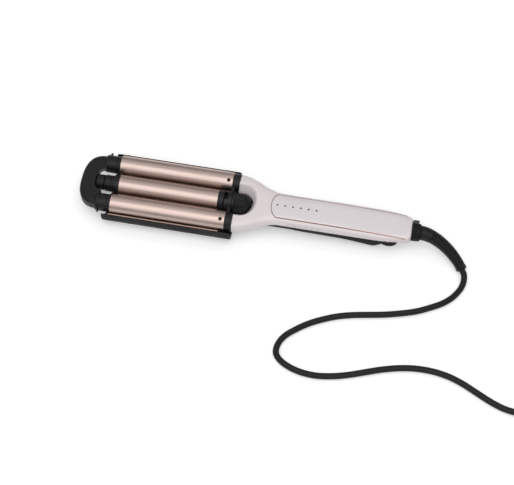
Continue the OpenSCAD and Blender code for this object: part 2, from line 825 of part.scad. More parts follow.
module button_switches() {
    color([0.25, 0.25, 0.27])
    for (x = button_xs) block([x - 3, x + 3], [switch_y - 1.6, switch_y + switch_t],
        [button_z - 1.7, button_z + 1.7]);
}

// ---------- side buttons ----------

button_face = -grip_half - button_proud;
button_flange_y = -grip_half + shell_wall + 0.55;

// Stadium section of a button, grown by g, carried from y0 to y1
module button_form(x, y0, y1, g) {
    h = button_h + 2 * g;
    reach = button_len / 2 - button_h / 2;
    block([x - reach, x + reach], [y0, y1], [button_z - h / 2, button_z + h / 2]);
    for (e = [-1, 1]) bar_y(y0, y1, h, x + e * reach, button_z);
}

module button_hole(x) {
    button_form(x, -grip_half - 2, -grip_half + 5, button_gap);
    // pocket behind the wall for the flange and its travel
    button_form(x, button_flange_y - 0.3, button_flange_y + 3, flange_lip + button_gap);
}

module side_button(x) {
    color([0.90, 0.87, 0.87]) {
        button_form(x, button_face, button_flange_y + eps, 0);
        button_form(x, button_flange_y, button_flange_y + flange_t, flange_lip);
        bar_y(button_flange_y + flange_t - eps, switch_y - 1.6 - button_travel - 0.1, 2.4, x, button_z);
    }
}

module power_button() side_button(button_xs[0]);

module minus_button() side_button(button_xs[1]);

module plus_button() side_button(button_xs[2]);

// ---------- hinge lock ----------

lock_y = [6.8, 9];
lock_len = 2.4;
lock_x = [hinge_x - 4.3, handle_x - 3.5];
stem_z = [0.8, 2.4];
tab_top = 4.6;
tab_y = [5.4, 9.4];
tab_x = handle_x + 0.4;
tab_len = sleeve_x1 - tab_x - lock_travel - 0.1;
notch_z = -7.5;
step_x = hinge_x + 0.9;

module hinge_lock() {
    color([0.36, 0.36, 0.38]) {
        block([lock_x[0], lock_x[0] + lock_len], lock_y, [notch_z + 0.3, -1.9]);
        block([lock_x[0], lock_x[1]], lock_y, [shell_bottom + 0.3, -1.9]);
        block([lock_x[1] - 2, lock_x[1]], lock_y, [shell_bottom + 0.3, stem_z[1]]);
        block([lock_x[1] - 2, tab_x + tab_len], lock_y, stem_z);
        block([tab_x, tab_x + tab_len], tab_y, [stem_z[1] - 0.4, tab_top]);
        for (i = [0:3]) block([tab_x + 1.2 + i * 1.4, tab_x + 1.8 + i * 1.4],
            tab_y, [tab_top - eps, tab_top + 0.4]);
    }
}

// Room for the lock's bar at the tail's front, and for its riser and stem in the end wall
module lock_room() {
    block([lower_x1 - 1.5, lower_x1 + 2], [lock_y[0] - 0.3, lock_y[1] + 0.3], [shell_bottom, -1.6]);
    block([lock_x[1] - 2.4, lock_x[1] + lock_travel + 0.4], [lock_y[0] - 0.3, lock_y[1] + 0.3],
        [shell_bottom, stem_z[1] + 0.3]);
    block([lock_x[1] - 2.4, handle_x + 1], [lock_y[0] - 0.3, lock_y[1] + 0.3],
        [stem_z[0] - 0.3, stem_z[1] + 0.3]);
}

// ---------- lower arm ----------

arm_half = arm_w / 2;
knuckle_half = knuckle_w / 2;
neck_top = -dial_d / 2 - 2.5;
arm_floor = -15.7;
jaw_floor = -axis_h;

function arm_roof(x) = neck_top + (arm_top - neck_top) * ease(x, fork_x + 6, fork_x + 34);

function arm_base(x) = jaw_floor + 0.4 + (arm_floor - jaw_floor - 0.4) * ease(x, fork_x, fork_x + 38)
    - 1.1 * ease(x, 30, 110) + (jaw_floor - arm_floor + 1.1) * ease(x, hinge_x - 54, hinge_x - 1);

function arm_side(x) = arm_half + (knuckle_half - arm_half) * ease(x, hinge_x - 25, hinge_x - 10);

function corner(cy, cz, r, a0, steps) =
    [for (i = [0:steps]) let (a = a0 + 90 * i / steps) [cy + r * cos(a), cz + r * sin(a)]];

function arm_section(x) =
    let (w = arm_side(x), zt = arm_roof(x), zb = arm_base(x), rb = min(6, (zt - zb) / 2, w - 4), rt = 1.2,
        flat = concat(corner(w - rt, zt - rt, rt, 0, 2), corner(-w + rt, zt - rt, rt, 90, 2),
            corner(-w + rb, zb + rb, rb, 180, 5), corner(w - rb, zb + rb, rb, 270, 5)))
    [for (p = flat) [x, p[0], axis_h + p[1]]];

arm_xs = concat([jaw_x1, fork_x + 6], [for (i = [1:8]) fork_x + 6 + 28 * i / 8], [36, 50, 64, 76],
    [for (i = [0:11]) hinge_x - 55 + 55 * i / 11]);

cover_x = [cavity_x0, hinge_x - 18];
cover_half = arm_half - 1.8;
cover_t = 1.5;
cover_screw_x = [cover_x[0] + 5, cover_x[1] - 5];

module lower_arm() {
    color([0.09, 0.09, 0.10])
    difference() {
        union() {
            skin([for (x = arm_xs) arm_section(x)]);
            bar_y(-knuckle_half, knuckle_half, knuckle_r * 2, hinge_x, hinge_z);
            // foot that plugs into the jaw
            block([jaw_x1 - foot_len, jaw_x1 + 2], [-foot_half, foot_half], foot_z);
        }
        // room for the upper shell's lug and for the hinge spring
        bar_y(-slot_half, slot_half, slot_r * 2, hinge_x, hinge_z);
        block([hinge_x - 5.2, hinge_x + knuckle_r + 2], [-slot_half, slot_half], [hinge_z, 0]);
        block([hinge_x - 13, hinge_x], [0.3, slot_half], [hinge_z - 4.4, hinge_z - 2.2]);
        bar_y(-knuckle_half - 1, knuckle_half + 1, (hinge_pin_d / 2 + hinge_gap) * 2, hinge_x, hinge_z);
        // notch that the lock's hook drops into
        block([hinge_x - 8, step_x], [lock_y[0] - 0.5, knuckle_half + 1], [notch_z, 0]);
        // cavity and seat of the cover
        block([cover_x[0] + 3, cover_x[1] - 3], [-cover_half + 1.5, cover_half - 1.5], [-13.5, 0]);
        block([cover_x[0] - 0.1, cover_x[1] + 0.1], [-cover_half - 0.1, cover_half + 0.1],
            [arm_top - cover_t, 0]);
        for (x = jaw_screw_xs, y = [-5.5, 5.5]) bar_z(foot_z[0] - 1, foot_z[0] + 4, 2.2, x, y);
    }
    color([0.09, 0.09, 0.10]) for (x = cover_screw_x) cover_post(x);
}

module cover_post(x) {
    difference() {
        bar_z(-14, arm_top - cover_t - fit_gap, 5.4, x, 0);
        bar_z(-11, 0, 1.8, x, 0);
    }
}

module arm_cover() {
    color([0.10, 0.10, 0.11])
    difference() {
        block(cover_x, [-cover_half, cover_half], [arm_top - cover_t, arm_top]);
        for (x = cover_screw_x) {
            bar_z(-20, 0, 2, x, 0);
            bar_z(arm_top - 0.8, 0, 4.2, x, 0);
        }
    }
}

module cover_screws() {
    color([0.60, 0.60, 0.62])
    for (x = cover_screw_x) {
        bar_z(arm_top - 0.8, arm_top - 0.1, 4, x, 0);
        bar_z(-11, arm_top - 0.7, 1.8, x, 0);
    }
}

module hinge_pin() {
    color([0.70, 0.70, 0.72]) bar_y(-knuckle_half + 0.2, knuckle_half - 0.2, hinge_pin_d, hinge_x, hinge_z);
}

// Torsion spring round the pin: two turns and two legs, one under the handle and one in the arm
spring_turns = 2;
spring_r = hinge_pin_d / 2 + 0.25 + spring_wire / 2;
spring_y0 = 0.75;

function spring_path() =
    let (n = 12, start = 100, turn = spring_turns * 360 + 150, pitch = spring_wire + 0.12,
        at = function (a) [hinge_x + spring_r * cos(start + a),
            spring_y0 + pitch * a / 360, axis_h + hinge_z + spring_r * sin(start + a)])
    concat(
        [at(0) + [-3.7, 0, 5.4]],
        [for (i = [0:n * turn / 360]) at(i * 360 / n)],
        [at(floor(n * turn / 360) * 360 / n) + [-7.5, 0, -1.2]]);

module hinge_spring() {
    color([0.72, 0.72, 0.74]) {
        p = spring_path();
        skin([for (i = [0:len(p) - 1]) let (t = tangent(p, i), side = [0, 1, 0], up = unit(cross(t, side)))
            [for (j = [0:5]) p[i] + spring_wire / 2 * (cos(-60 * j) * side + sin(-60 * j) * up)]]);
    }
}

// ---------- jaw ----------

foot_len = 18;
foot_half = 11;
foot_z = [jaw_floor + 2, jaw_floor + 6.6];
jaw_screw_xs = [jaw_x1 - foot_len + 6];

// Everything below the waved line: troughs of radius r about each barrel, ridges of radius s
module below_wave(r, s, top = 0) {
    wide = jaw_half + 10;
    tangent_z = ridge_z * r / (r + s);
    difference() {
        translate([-wide, -40]) square([2 * wide, 40 + top]);
        for (i = [-1:1]) translate([i * barrel_pitch, 0]) circle(r);
        for (i = [-1, 1]) translate([i * barrel_pitch / 2 - 4, tangent_z]) square([8, 20]);
    }
    for (i = [-1, 1]) translate([i * barrel_pitch / 2, ridge_z]) circle(s);
}

module wave_plate() {
    color([0.78, 0.60, 0.53])
    along_x(plate_x0, plate_x1) intersection() {
        difference() {
            below_wave(trough_r, ridge_r);
            below_wave(trough_r + plate_t, ridge_r - plate_t, 1);
        }
        translate([-(barrel_pitch + trough_r + plate_t), -30])
            square([2 * (barrel_pitch + trough_r + plate_t), 40]);
    }
}

module jaw_outline() {
    h = axis_h;
    difference() {
        union() {
            translate([-jaw_half, -h + jaw_round]) square([2 * jaw_half, h - jaw_round]);
            translate([-jaw_half + jaw_round, -h]) square([2 * (jaw_half - jaw_round), h]);
            for (i = [-1, 1]) translate([i * (jaw_half - jaw_round), -h + jaw_round]) circle(jaw_round);
        }
        translate([-jaw_half - 1, 0]) square([2 * jaw_half + 2, jaw_round]);
    }
}

jaw_nose_round = 4.5;
jaw_rear_round = 3;

module jaw_plan() {
    difference() {
        translate([jaw_x0, -jaw_half - 2]) square([jaw_x1 - jaw_x0, 2 * jaw_half + 4]);
        for (side = [-1, 1]) {
            plan_corner(jaw_x0, side, jaw_nose_round, 1);
            plan_corner(jaw_x1, side, jaw_rear_round, -1);
        }
    }
}

// Waste outside a rounded corner of the jaw's plan
module plan_corner(x, side, r, way) {
    difference() {
        translate([x + (way > 0 ? -1 : -r), side > 0 ? jaw_half - r : -jaw_half - 3])
            square([r + 1, r + 3]);
        translate([x + way * r, side * (jaw_half - r)]) circle(r);
    }
}

module jaw_housing() {
    color([0.10, 0.10, 0.12])
    difference() {
        intersection() {
            along_x(jaw_x0, jaw_x1) intersection() {
                jaw_outline();
                below_wave(trough_r + plate_t + fit_gap, ridge_r - plate_t - fit_gap);
            }
            linear_extrude(axis_h + 2) jaw_plan();
        }
        // seats of the three heater strips
        for (i = [-1:1]) heater_seat(i * barrel_pitch);
        // socket for the lower arm's foot and its screws
        block([jaw_x1 - foot_len - 0.1, jaw_x1 + 1], [-foot_half - 0.1, foot_half + 0.1],
            [foot_z[0] - fit_gap, foot_z[1] + 0.1]);
        for (x = jaw_screw_xs, y = [-5.5, 5.5]) {
            bar_z(jaw_floor - 1, foot_z[0] + 1, 2.4, x, y);
            bar_z(jaw_floor - 1, jaw_floor + 0.9, 4.4, x, y);
        }
        block([jaw_x0 + 20, jaw_x0 + 100], [-14, 14], [jaw_floor - 1, jaw_floor + 0]);
    }
    color([0.10, 0.10, 0.12])
    for (x = [plate_x0 + 5, plate_x1 - 3], side = [-1, 1])
        bar_x(x - 1.5, x + 1.5, 2, side * (jaw_half - 0.2), -1.2);
}

strip_w = 9;
strip_t = 1.6;
strip_z = -(trough_r + plate_t) - strip_t;

module heater_seat(y) {
    block([plate_x0 + 14.9, plate_x1 - 19.9], [y - strip_w / 2 - 0.1, y + strip_w / 2 + 0.1],
        [strip_z, 0]);
}

module jaw_heaters() {
    color([0.86, 0.86, 0.82])
    for (i = [-1:1]) block([plate_x0 + 15, plate_x1 - 20],
        [i * barrel_pitch - strip_w / 2, i * barrel_pitch + strip_w / 2], [strip_z, strip_z + strip_t]);
}

module jaw_screws() {
    color([0.60, 0.60, 0.62])
    for (x = jaw_screw_xs, y = [-5.5, 5.5]) {
        bar_z(jaw_floor + 0.2, jaw_floor + 0.9, 4.2, x, y);
        bar_z(jaw_floor + 0.8, foot_z[0] + 4, 2.2, x, y);
    }
}

// ---------- cord end ----------

sleeve_spigot_d = swivel_d + 2.4;
swivel_bore_d = swivel_d + 2 * hinge_gap;

module cord_sleeve() {
    color([0.09, 0.09, 0.10])
    difference() {
        turned_x(0, swivel_z) polygon([[0, cavity_x1 + 0.5], [sleeve_spigot_d / 2, cavity_x1 + 0.5],
            [sleeve_spigot_d / 2, handle_x + fit_gap], [9.4, handle_x + fit_gap],
            [9.3, handle_x + 4], [8.9, sleeve_x1 - 1], [8.2, sleeve_x1], [0, sleeve_x1]]);
        bar_x(cavity_x1, sleeve_x1 + 1, swivel_bore_d, 0, swivel_z);
        block([handle_x - 1, sleeve_x1 + 1], [tab_y[0] - 0.3, tab_y[1] + 5], [stem_z[1] - 0.7, 20]);
        block([handle_x - 1, sleeve_x1 + 1], [lock_y[0] - 0.3, tab_y[1] + 5], [stem_z[0] - 0.3, 20]);
    }
}

module swivel_core() {
    color([0.18, 0.18, 0.19]) {
        bar_x(cavity_x1 + 0.2, relief_x, swivel_d, 0, swivel_z);
        bar_x(cavity_x1 - 1.4, cavity_x1 + 0.25, swivel_d + 1.4, 0, swivel_z);
    }
}

relief_start = [relief_x, 0, axis_h + swivel_z];

// Point on the strain relief's centre line
function relief_at(t) =
    let (a = relief_start, b = relief_start + [relief_push, 0, -0.3], c = relief_pull, d = relief_end)
    pow(1 - t, 3) * a + 3 * pow(1 - t, 2) * t * b + 3 * (1 - t) * t * t * c + t * t * t * d;

// Stations of the strain relief as [position, share of the full radius]
function relief_stations() = concat(
    [[0, 1], [0.10, 1]],
    [for (i = [0:relief_ribs - 1]) let (t = 0.14 + 0.80 * i / relief_ribs, w = 0.80 / relief_ribs)
        each [[t, 1], [t + 0.12 * w, 0.86], [t + 0.42 * w, 0.86], [t + 0.54 * w, 1]]],
    [[0.97, 1], [1, 0.9]]);

module strain_relief() {
    color([0.08, 0.08, 0.09])
    skin([for (s = relief_stations())
        let (c = relief_at(s[0]), ahead = relief_at(min(1, s[0] + 0.01)), back = relief_at(max(0, s[0] - 0.01)),
            r = (relief_r0 + (relief_r1 - relief_r0) * s[0]) * s[1])
        ring_at(c, s[0] == 0 ? [1, 0, 0] : unit(ahead - back), r, 10)]);
}

module cord() {
    color([0.07, 0.07, 0.08]) tube(cord_route, cord_d, 8);
}

// Coil: one tube that spirals in on the lower layer, climbs where it turns back, and spirals out
function coil_point(a) =
    let (half = coil_turns * 180, away = abs(a - half),
        r = coil_inner_r + coil_pitch * away / 360,
        z = coil_z + coil_pitch * ease(a, half - 90, half + 90))
    [coil_c[0] + r * cos(a - 90), coil_c[1] + r * sin(a - 90), z];

coil_out = coil_point(coil_turns * 360);

function coil_path() = concat(
    [coil_entry],
    [for (i = [0:coil_turns * coil_rings]) coil_point(i * 360 / coil_rings)],
    [coil_out + [0, 8, -0.2], coil_out + [0, 15, (plug_z - coil_out[2]) * 0.6],
        [coil_out[0], coil_out[1] + plug_lead - 6.5, plug_z + 0.1],
        [coil_out[0], coil_out[1] + plug_lead, plug_z]]);

// Least distance between centres of turns that pass each other, less the cord's diameter
function coil_least_gap() =
    let (p = [for (i = [0:coil_turns * coil_rings]) coil_point(i * 360 / coil_rings)])
    min([for (i = [0:len(p) - 1], j = [i + 12:1:len(p) - 1]) norm(p[i] - p[j])]) - cord_d;

module cord_coil() {
    color([0.07, 0.07, 0.08]) tube(coil_path(), cord_d, 6);
}

module cord_tie() {
    inner = coil_inner_r - cord_d / 2 - 0.4;
    outer = coil_outer_r + cord_d / 2 - 0.2;
    low = coil_z - cord_d / 2 - 0.15;
    high = coil_z + coil_pitch + cord_d / 2 + 0.15;
    color([0.10, 0.10, 0.11])
    translate([coil_c[0], coil_c[1], 0]) rotate([0, 0, tie_angle])
    translate([0, tie_w / 2, 0]) rotate([90, 0, 0]) linear_extrude(tie_w) difference() {
        translate([inner - tie_t, low - tie_t]) square([outer - inner + 2 * tie_t, high - low + 2 * tie_t]);
        translate([inner, low]) square([outer - inner, high - low]);
    }
}

// Flat two-pin plug with its own short neck
plug_y0 = coil_out[1] + plug_lead;
plug_neck = 9;
plug_body = 34;
pin_len = 19;
pin_d = 4;
pin_gap = 18.6;

module plug() {
    color([0.07, 0.07, 0.08])
    translate([coil_out[0], plug_y0, plug_z]) {
        rotate([-90, 0, 0]) cylinder(h = plug_neck + 1, d1 = cord_d + 1.6, d2 = 10);
        translate([0, plug_neck, -6.9]) linear_extrude(13.8) polygon([
            [-8, 0], [8, 0], [13, 8], [17.6, 18], [17.6, plug_body], [-17.6, plug_body],
            [-17.6, 18], [-13, 8]]);
    }
}

module plug_pins() {
    color([0.80, 0.78, 0.70])
    for (side = [-1, 1])
        translate([coil_out[0] + side * pin_gap / 2, plug_y0 + plug_neck + plug_body, plug_z])
            rotate([-90, 0, 0]) cylinder(h = pin_len, d = pin_d);
}

near_barrel();
far_barrel();
barrel_screws();
tip_bridge();
base_bridge();
bridge_screws();
outer_heaters();
outer_spreaders();
handle_upper_shell();
handle_lower_shell();
shell_screws();
control_panel();
panel_trim();
indicator_lights();
circuit_board();
button_switches();
hinge_pin();
hinge_spring();
cord_sleeve();
middle_barrel();
middle_tip_cap();
middle_base_cap();
follower_pin();
middle_heater();
middle_spreaders();
depth_dial();
lower_arm();
arm_cover();
cover_screws();
jaw_housing();
jaw_screws();
wave_plate();
jaw_heaters();
power_button();
minus_button();
plus_button();
hinge_lock();
swivel_core();
strain_relief();
cord();
cord_coil();
cord_tie();
plug();
plug_pins();
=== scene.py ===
"""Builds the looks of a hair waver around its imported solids, in Blender 4.5."""

import math

import bmesh
import bpy
from bpy.props import FloatProperty, FloatVectorProperty, IntProperty, PointerProperty
from mathutils import Matrix, Vector


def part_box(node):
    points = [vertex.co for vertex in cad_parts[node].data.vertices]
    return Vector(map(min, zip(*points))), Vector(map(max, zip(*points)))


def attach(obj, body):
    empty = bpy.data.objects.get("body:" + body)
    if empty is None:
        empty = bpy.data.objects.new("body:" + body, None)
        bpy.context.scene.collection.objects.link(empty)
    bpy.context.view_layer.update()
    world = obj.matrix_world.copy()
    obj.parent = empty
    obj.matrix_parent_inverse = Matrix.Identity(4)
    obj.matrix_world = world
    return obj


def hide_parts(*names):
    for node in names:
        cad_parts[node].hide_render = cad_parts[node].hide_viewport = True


bl_info = {
    "name": "Hair waver",
    "version": (1, 0, 0),
    "blender": (4, 5, 0),
    "location": "View3D > Sidebar > Waver",
    "description": "Builds a hair waver with heated barrels, a waved jaw and a depth dial",
    "category": "Add Mesh",
}

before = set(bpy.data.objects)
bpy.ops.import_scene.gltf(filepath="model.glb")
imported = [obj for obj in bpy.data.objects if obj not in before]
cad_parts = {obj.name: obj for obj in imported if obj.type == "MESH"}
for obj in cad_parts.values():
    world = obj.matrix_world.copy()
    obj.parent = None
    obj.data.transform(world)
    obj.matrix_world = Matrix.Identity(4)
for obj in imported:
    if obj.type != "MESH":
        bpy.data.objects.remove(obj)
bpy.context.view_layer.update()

MM = 0.001


def solid_box(node):
    """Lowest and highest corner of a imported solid, in millimetres."""
    low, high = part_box(node)
    return low / MM, high / MM


NEAR_LOW, NEAR_HIGH = solid_box("near_barrel")
MIDDLE_LOW, MIDDLE_HIGH = solid_box("middle_barrel")
SHELL_LOW, SHELL_HIGH = solid_box("handle_upper_shell")
SLEEVE_HIGH = solid_box("cord_sleeve")[1]
DIAL_LOW = solid_box("depth_dial")[0]
BOW_LOW = solid_box("tip_bridge")[0]

# Places that the solids fix
BARREL_R = (NEAR_HIGH.z - NEAR_LOW.z) / 2
AXIS = (NEAR_HIGH.z + NEAR_LOW.z) / 2
PITCH = -(NEAR_HIGH.y + NEAR_LOW.y) / 2
TIP_X, BASE_X = NEAR_LOW.x, NEAR_HIGH.x
MID_TIP, MID_BASE = MIDDLE_LOW.x, MIDDLE_HIGH.x
FORK_X, HANDLE_X = SHELL_LOW.x, SHELL_HIGH.x
FORK_HALF = SHELL_HIGH.y
SLEEVE_X = SLEEVE_HIGH.x
DIAL_X = DIAL_LOW.x

BARREL_WALL = 1.0
TIP_STEP = 1.6
COLLAR_X = TIP_X - 13.25
DIAL_R = 11.5
DIAL_SKIRT = 10.0
DIAL_DOME = 9.3
DIAL_END = DIAL_X + DIAL_SKIRT + DIAL_DOME
SCREW_X = BASE_X - 4.3
SCREW_TILT = 22.0
ROOM_LIP, ROOM_SLOPE, ROOM_TOP = 5.0, math.radians(58.3), 9.0
ROOM_START, ROOM_WALL = -2.1, 5.6
BOW_TIP_X = BOW_LOW.x - 0.9
BOW_HALF, BOW_POWER = 29.4, 2.6
BOW_GAP_X = COLLAR_X + 2
BOW_GAP_HALF, BOW_GAP_POWER = 12.7, 2.6
BOW_INNER_X = BOW_TIP_X + 15.0
BOW_THICK = 14.0
BOW_ROUND = 4.0
BOW_LIP, BOW_FOOT = 0.5, 3.0
BOW_LEAN = 4.8
NECK_R = 8.3
NECK_X = MID_TIP - 13.7
HINGE_X = HANDLE_X - 21.0
ARM_TOP, ARM_HALF = -5.6, 13.55
SWIVEL_Z = AXIS - 2.5
GRIP_HALF = 17.9
CROWN = 8.0
PANEL_X0, PANEL_X1 = 22.0, HANDLE_X - 5.0
PANEL_HALF = 13.3
PANEL_ROUND = 7.0
PANEL_PROUD = 0.25
PANEL_FADE = 30.0
PANEL_THICK = 1.2
LIGHT_X0, LIGHT_PITCH, LIGHT_COUNT = 27.5, 7.9, 6
BUTTON_XS = {"power": 44.8, "minus": 56.6, "plus": 68.7}
BUTTON_Z = AXIS + 1.0

# The cord's route on the surface, its coil and the strain relief's bend
RELIEF_END = (217.5, -26.0, 5.4)
RELIEF_PULL = (210.0, -12.0, 7.0)
RELIEF_PUSH = 17.5
COIL_ENTRY = (322.0, -170.0, 3.75)
CORD_ROUTE = (
    RELIEF_END, (220.5, -31.5, 4.7), (221.0, -38.0, 3.7), (219.5, -45.0, 3.1),
    (216.0, -52.0, 3.1), (210.5, -59.5, 3.1), (202.0, -67.0, 3.1), (191.0, -73.5, 3.1),
    (178.0, -80.0, 3.1), (163.0, -85.0, 3.1), (148.0, -89.0, 3.1), (133.0, -92.0, 3.1),
    (118.0, -95.0, 3.1), (104.0, -99.0, 3.1), (91.0, -104.5, 3.1), (78.0, -111.5, 3.1),
    (66.5, -120.0, 3.1), (57.0, -129.0, 3.1), (52.0, -138.5, 3.1), (51.5, -148.0, 3.1),
    (56.5, -155.0, 3.1), (66.0, -160.5, 3.1), (78.0, -164.0, 3.1), (92.0, -165.0, 3.1),
    (107.0, -163.0, 3.1), (122.0, -159.0, 3.1), (137.0, -153.5, 3.1), (152.0, -148.0, 3.1),
    (168.0, -143.5, 3.1), (184.0, -141.0, 3.1), (200.0, -141.0, 3.1), (215.0, -143.5, 3.1),
    (229.0, -148.5, 3.1), (243.0, -155.5, 3.1), (257.0, -162.5, 3.1), (271.0, -167.5, 3.1),
    (288.0, -169.5, 3.1), (305.0, -170.0, 3.3), COIL_ENTRY,
)
COIL_X = 330.0
COIL_TURNS = 6.25
COIL_INNER = 21.2
COIL_PITCH = 6.6
PLUG_Z = 7.0
PLUG_LEAD = 22.0

# Camera that matches the photograph's viewpoint: its place and its three directions
CAMERA_PLACE = (0.1075, -0.6483, 1.0318)
CAMERA_RIGHT = (0.9848, 0.1732, 0.0132)
CAMERA_DOWN = (0.1548, -0.8407, -0.5190)
CAMERA_FORWARD = (-0.0788, 0.5131, -0.8547)
CAMERA_LENS = 84.0


# ---------- sizes and colours that a user would change ----------


def size(name, description, value, low, high):
    """A length property whose default is given in millimetres."""
    return FloatProperty(name=name, description=description, default=value * MM, min=low * MM,
                         max=high * MM, unit="LENGTH", precision=5)


def colour(name, description, value):
    """A colour property, in linear values."""
    return FloatVectorProperty(name=name, description=description, default=value, min=0, max=1,
                               size=3, subtype="COLOR")


class WaverSizes(bpy.types.PropertyGroup):
    """Sizes of the waver's visible details."""

    cord_diameter: size("Cord diameter", "Thickness of the mains cord", 6.1, 5, 7)
    trim_width: size("Trim width", "Width of the line round the top panel", 0.9, 0.5, 1.5)
    light_diameter: size("Light diameter", "Diameter of each indicator light", 2.0, 1, 3)
    edge_round: size("Edge rounding", "Radius of moulded edges", 0.35, 0.1, 0.8)
    barrel_edge: size("Barrel edge", "Rolled edge of each barrel's ends", 0.3, 0.1, 0.5)
    rib_count: IntProperty(name="Relief ribs", description="Ribs along the strain relief",
                           default=15, min=6, max=24)


class WaverColours(bpy.types.PropertyGroup):
    """Colours of the waver's finishes."""

    rose_gold: colour("Rose gold", "Barrels", (0.535, 0.420, 0.380))
    rose_plate: colour("Rose plate", "Waved plate in the jaw", (0.560, 0.400, 0.340))
    copper: colour("Copper", "Trim line round the panel", (0.500, 0.330, 0.290))
    pearl: colour("Pearl", "Upper handle shell", (0.780, 0.712, 0.712))
    panel: colour("Panel", "Top panel", (0.760, 0.705, 0.720))
    black: colour("Black", "Moulded black plastic", (0.010, 0.010, 0.011))
    black_satin: colour("Satin black", "Bow, caps and dial", (0.009, 0.009, 0.011))
    rubber: colour("Rubber", "Cord and strain relief", (0.007, 0.007, 0.008))
    grey: colour("Grey", "Hinge lock", (0.075, 0.075, 0.080))
    steel: colour("Steel", "Screws and pins", (0.46, 0.46, 0.48))
    brass: colour("Brass", "Plug pins", (0.62, 0.55, 0.40))
    floor: colour("Floor", "Floor under the waver", (0.90, 0.90, 0.90))


# ---------- materials ----------


class Wire:
    """A shader socket that sums and products can be written with."""

    def __init__(self, finish, socket):
        self.finish = finish
        self.socket = socket

    def _calc(self, operation, left, right):
        """One math node over two values."""
        return self.finish.add("ShaderNodeMath", {"operation": operation}, {0: left, 1: right})

    def __add__(self, other):
        return self._calc("ADD", self, other)

    __radd__ = __add__

    def __mul__(self, other):
        return self._calc("MULTIPLY", self, other)

    __rmul__ = __mul__

    def __sub__(self, other):
        return self._calc("SUBTRACT", self, other)

    def __rsub__(self, other):
        return self._calc("SUBTRACT", other, self)


class Finish:
    """A material that is put together node by node."""

    def __init__(self, name, **fixed):
        self.material = bpy.data.materials.new(name)
        self.material.use_nodes = True
        self.tree = self.material.node_tree
        self.shader = next(n for n in self.tree.nodes if n.type == "BSDF_PRINCIPLED")
        for socket, value in fixed.items():
            self.put(socket.replace("_", " "), value)
        if "Base_Color" in fixed:
            self.material.diffuse_color = (*fixed["Base_Color"][:3], 1)

    def add(self, kind, settings=None, links=None, out=0):
        """One node of any type: its settings first, then the values or links of its sockets."""
        node = self.tree.nodes.new(kind)
        for name, value in (settings or {}).items():
            setattr(node, name, value)
        for socket, value in (links or {}).items():
            self._feed(node.inputs[socket], value)
        return Wire(self, node.outputs[out])

    def _feed(self, socket, value):
        """Links a wire to a socket, or sets the socket's value."""
        if isinstance(value, Wire):
            self.tree.links.new(value.socket, socket)
        elif socket.type == "RGBA" and len(value) == 3:
            socket.default_value = (*value, 1)
        else:
            socket.default_value = value

    def put(self, socket, value):
        """Feeds one socket of the surface shader."""
        self._feed(self.shader.inputs[socket], value)

    def place(self, stretch=(1, 1, 1)):
        """Object coordinates, stretched."""
        coords = self.add("ShaderNodeTexCoord", out="Object")
        return self.add("ShaderNodeMapping", {"vector_type": "POINT"},
                        {"Vector": coords, "Scale": stretch})

    def noise(self, scale, stretch=(1, 1, 1), detail=3.0, rough=0.55):
        """Soft noise from 0 to 1; scale counts its features per metre."""
        return self.add("ShaderNodeTexNoise", None,
                        {"Vector": self.place(stretch), "Scale": scale, "Detail": detail,
                         "Roughness": rough})

    def band(self, value, low, high):
        """0 below low, 1 above high, and a smooth step between."""
        return self.add("ShaderNodeMapRange", {"interpolation_type": "SMOOTHSTEP"},
                        {"Value": value, "From Min": low, "From Max": high})

    def mix(self, factor, first, second):
        """Colour between two colours."""
        return self.add("ShaderNodeMix", {"data_type": "RGBA"},
                        {0: factor, 6: first, 7: second}, out=2)

    def bump(self, height, distance, strength=1.0):
        """Feeds the shader's normal with a relief of that depth in metres."""
        relief = self.add("ShaderNodeBump", None,
                          {"Height": height, "Distance": distance, "Strength": strength})
        self.put("Normal", relief)


def shade(value, factor):
    """A colour made darker or lighter."""
    return tuple(min(1.0, c * factor) for c in value)


def anodised(name, tint, rough=0.38, streak=(14, 700, 700)):
    """Satin metal with faint drawing lines along the tube and soft handling marks."""
    finish = Finish(name, Base_Color=tint, Metallic=1.0)
    lines = finish.noise(1.0, streak, detail=4.0)
    marks = finish.noise(38.0, detail=2.0)
    cloud = finish.band(marks, 0.35, 0.75)
    finish.put("Base Color", finish.mix(lines * 0.55 + cloud * 0.35, shade(tint, 0.93),
                                        shade(tint, 1.05)))
    finish.put("Roughness", lines * 0.10 + cloud * 0.05 + (rough - 0.07))
    finish.bump(lines, 0.00002, 0.5)
    return finish.material


def pearl_plastic(name, tint, rough=0.30, coat=0.35):
    """Pearl lacquer over plastic: fine bright flakes under a clear coat."""
    finish = Finish(name, Base_Color=tint, Coat_Weight=coat, Coat_Roughness=0.12)
    flakes = finish.add("ShaderNodeTexVoronoi", {"feature": "F1"},
                        {"Vector": finish.place(), "Scale": 2600.0})
    cloud = finish.noise(24.0, detail=2.0)
    glint = 1 - finish.band(flakes, 0.10, 0.42)
    rosy = (tint[0] * 1.01, tint[1] * 0.995, tint[2] * 1.015)
    warm = finish.mix(finish.band(cloud, 0.3, 0.7), shade(tint, 0.985), rosy)
    finish.put("Base Color", finish.mix(glint * 0.30, warm, shade(tint, 1.12)))
    finish.put("Roughness", rough + cloud * 0.06 - glint * 0.05)
    finish.bump(finish.noise(420.0, detail=1.0), 0.00001, 0.35)
    return finish.material


def moulded(name, tint, rough=0.48, grain=2200.0, depth=0.00003, sheen=0.30):
    """Moulded plastic with a fine spark-eroded grain and slightly polished patches."""
    finish = Finish(name, Base_Color=tint, Specular_IOR_Level=sheen)
    grains = finish.noise(grain, detail=2.0, rough=0.6)
    polish = finish.band(finish.noise(42.0, detail=2.0), 0.45, 0.75)
    finish.put("Base Color", finish.mix(grains * 0.6, shade(tint, 0.85), shade(tint, 1.25)))
    finish.put("Roughness", rough + grains * 0.12 - polish * 0.09)
    finish.bump(grains, depth, 0.6)
    return finish.material


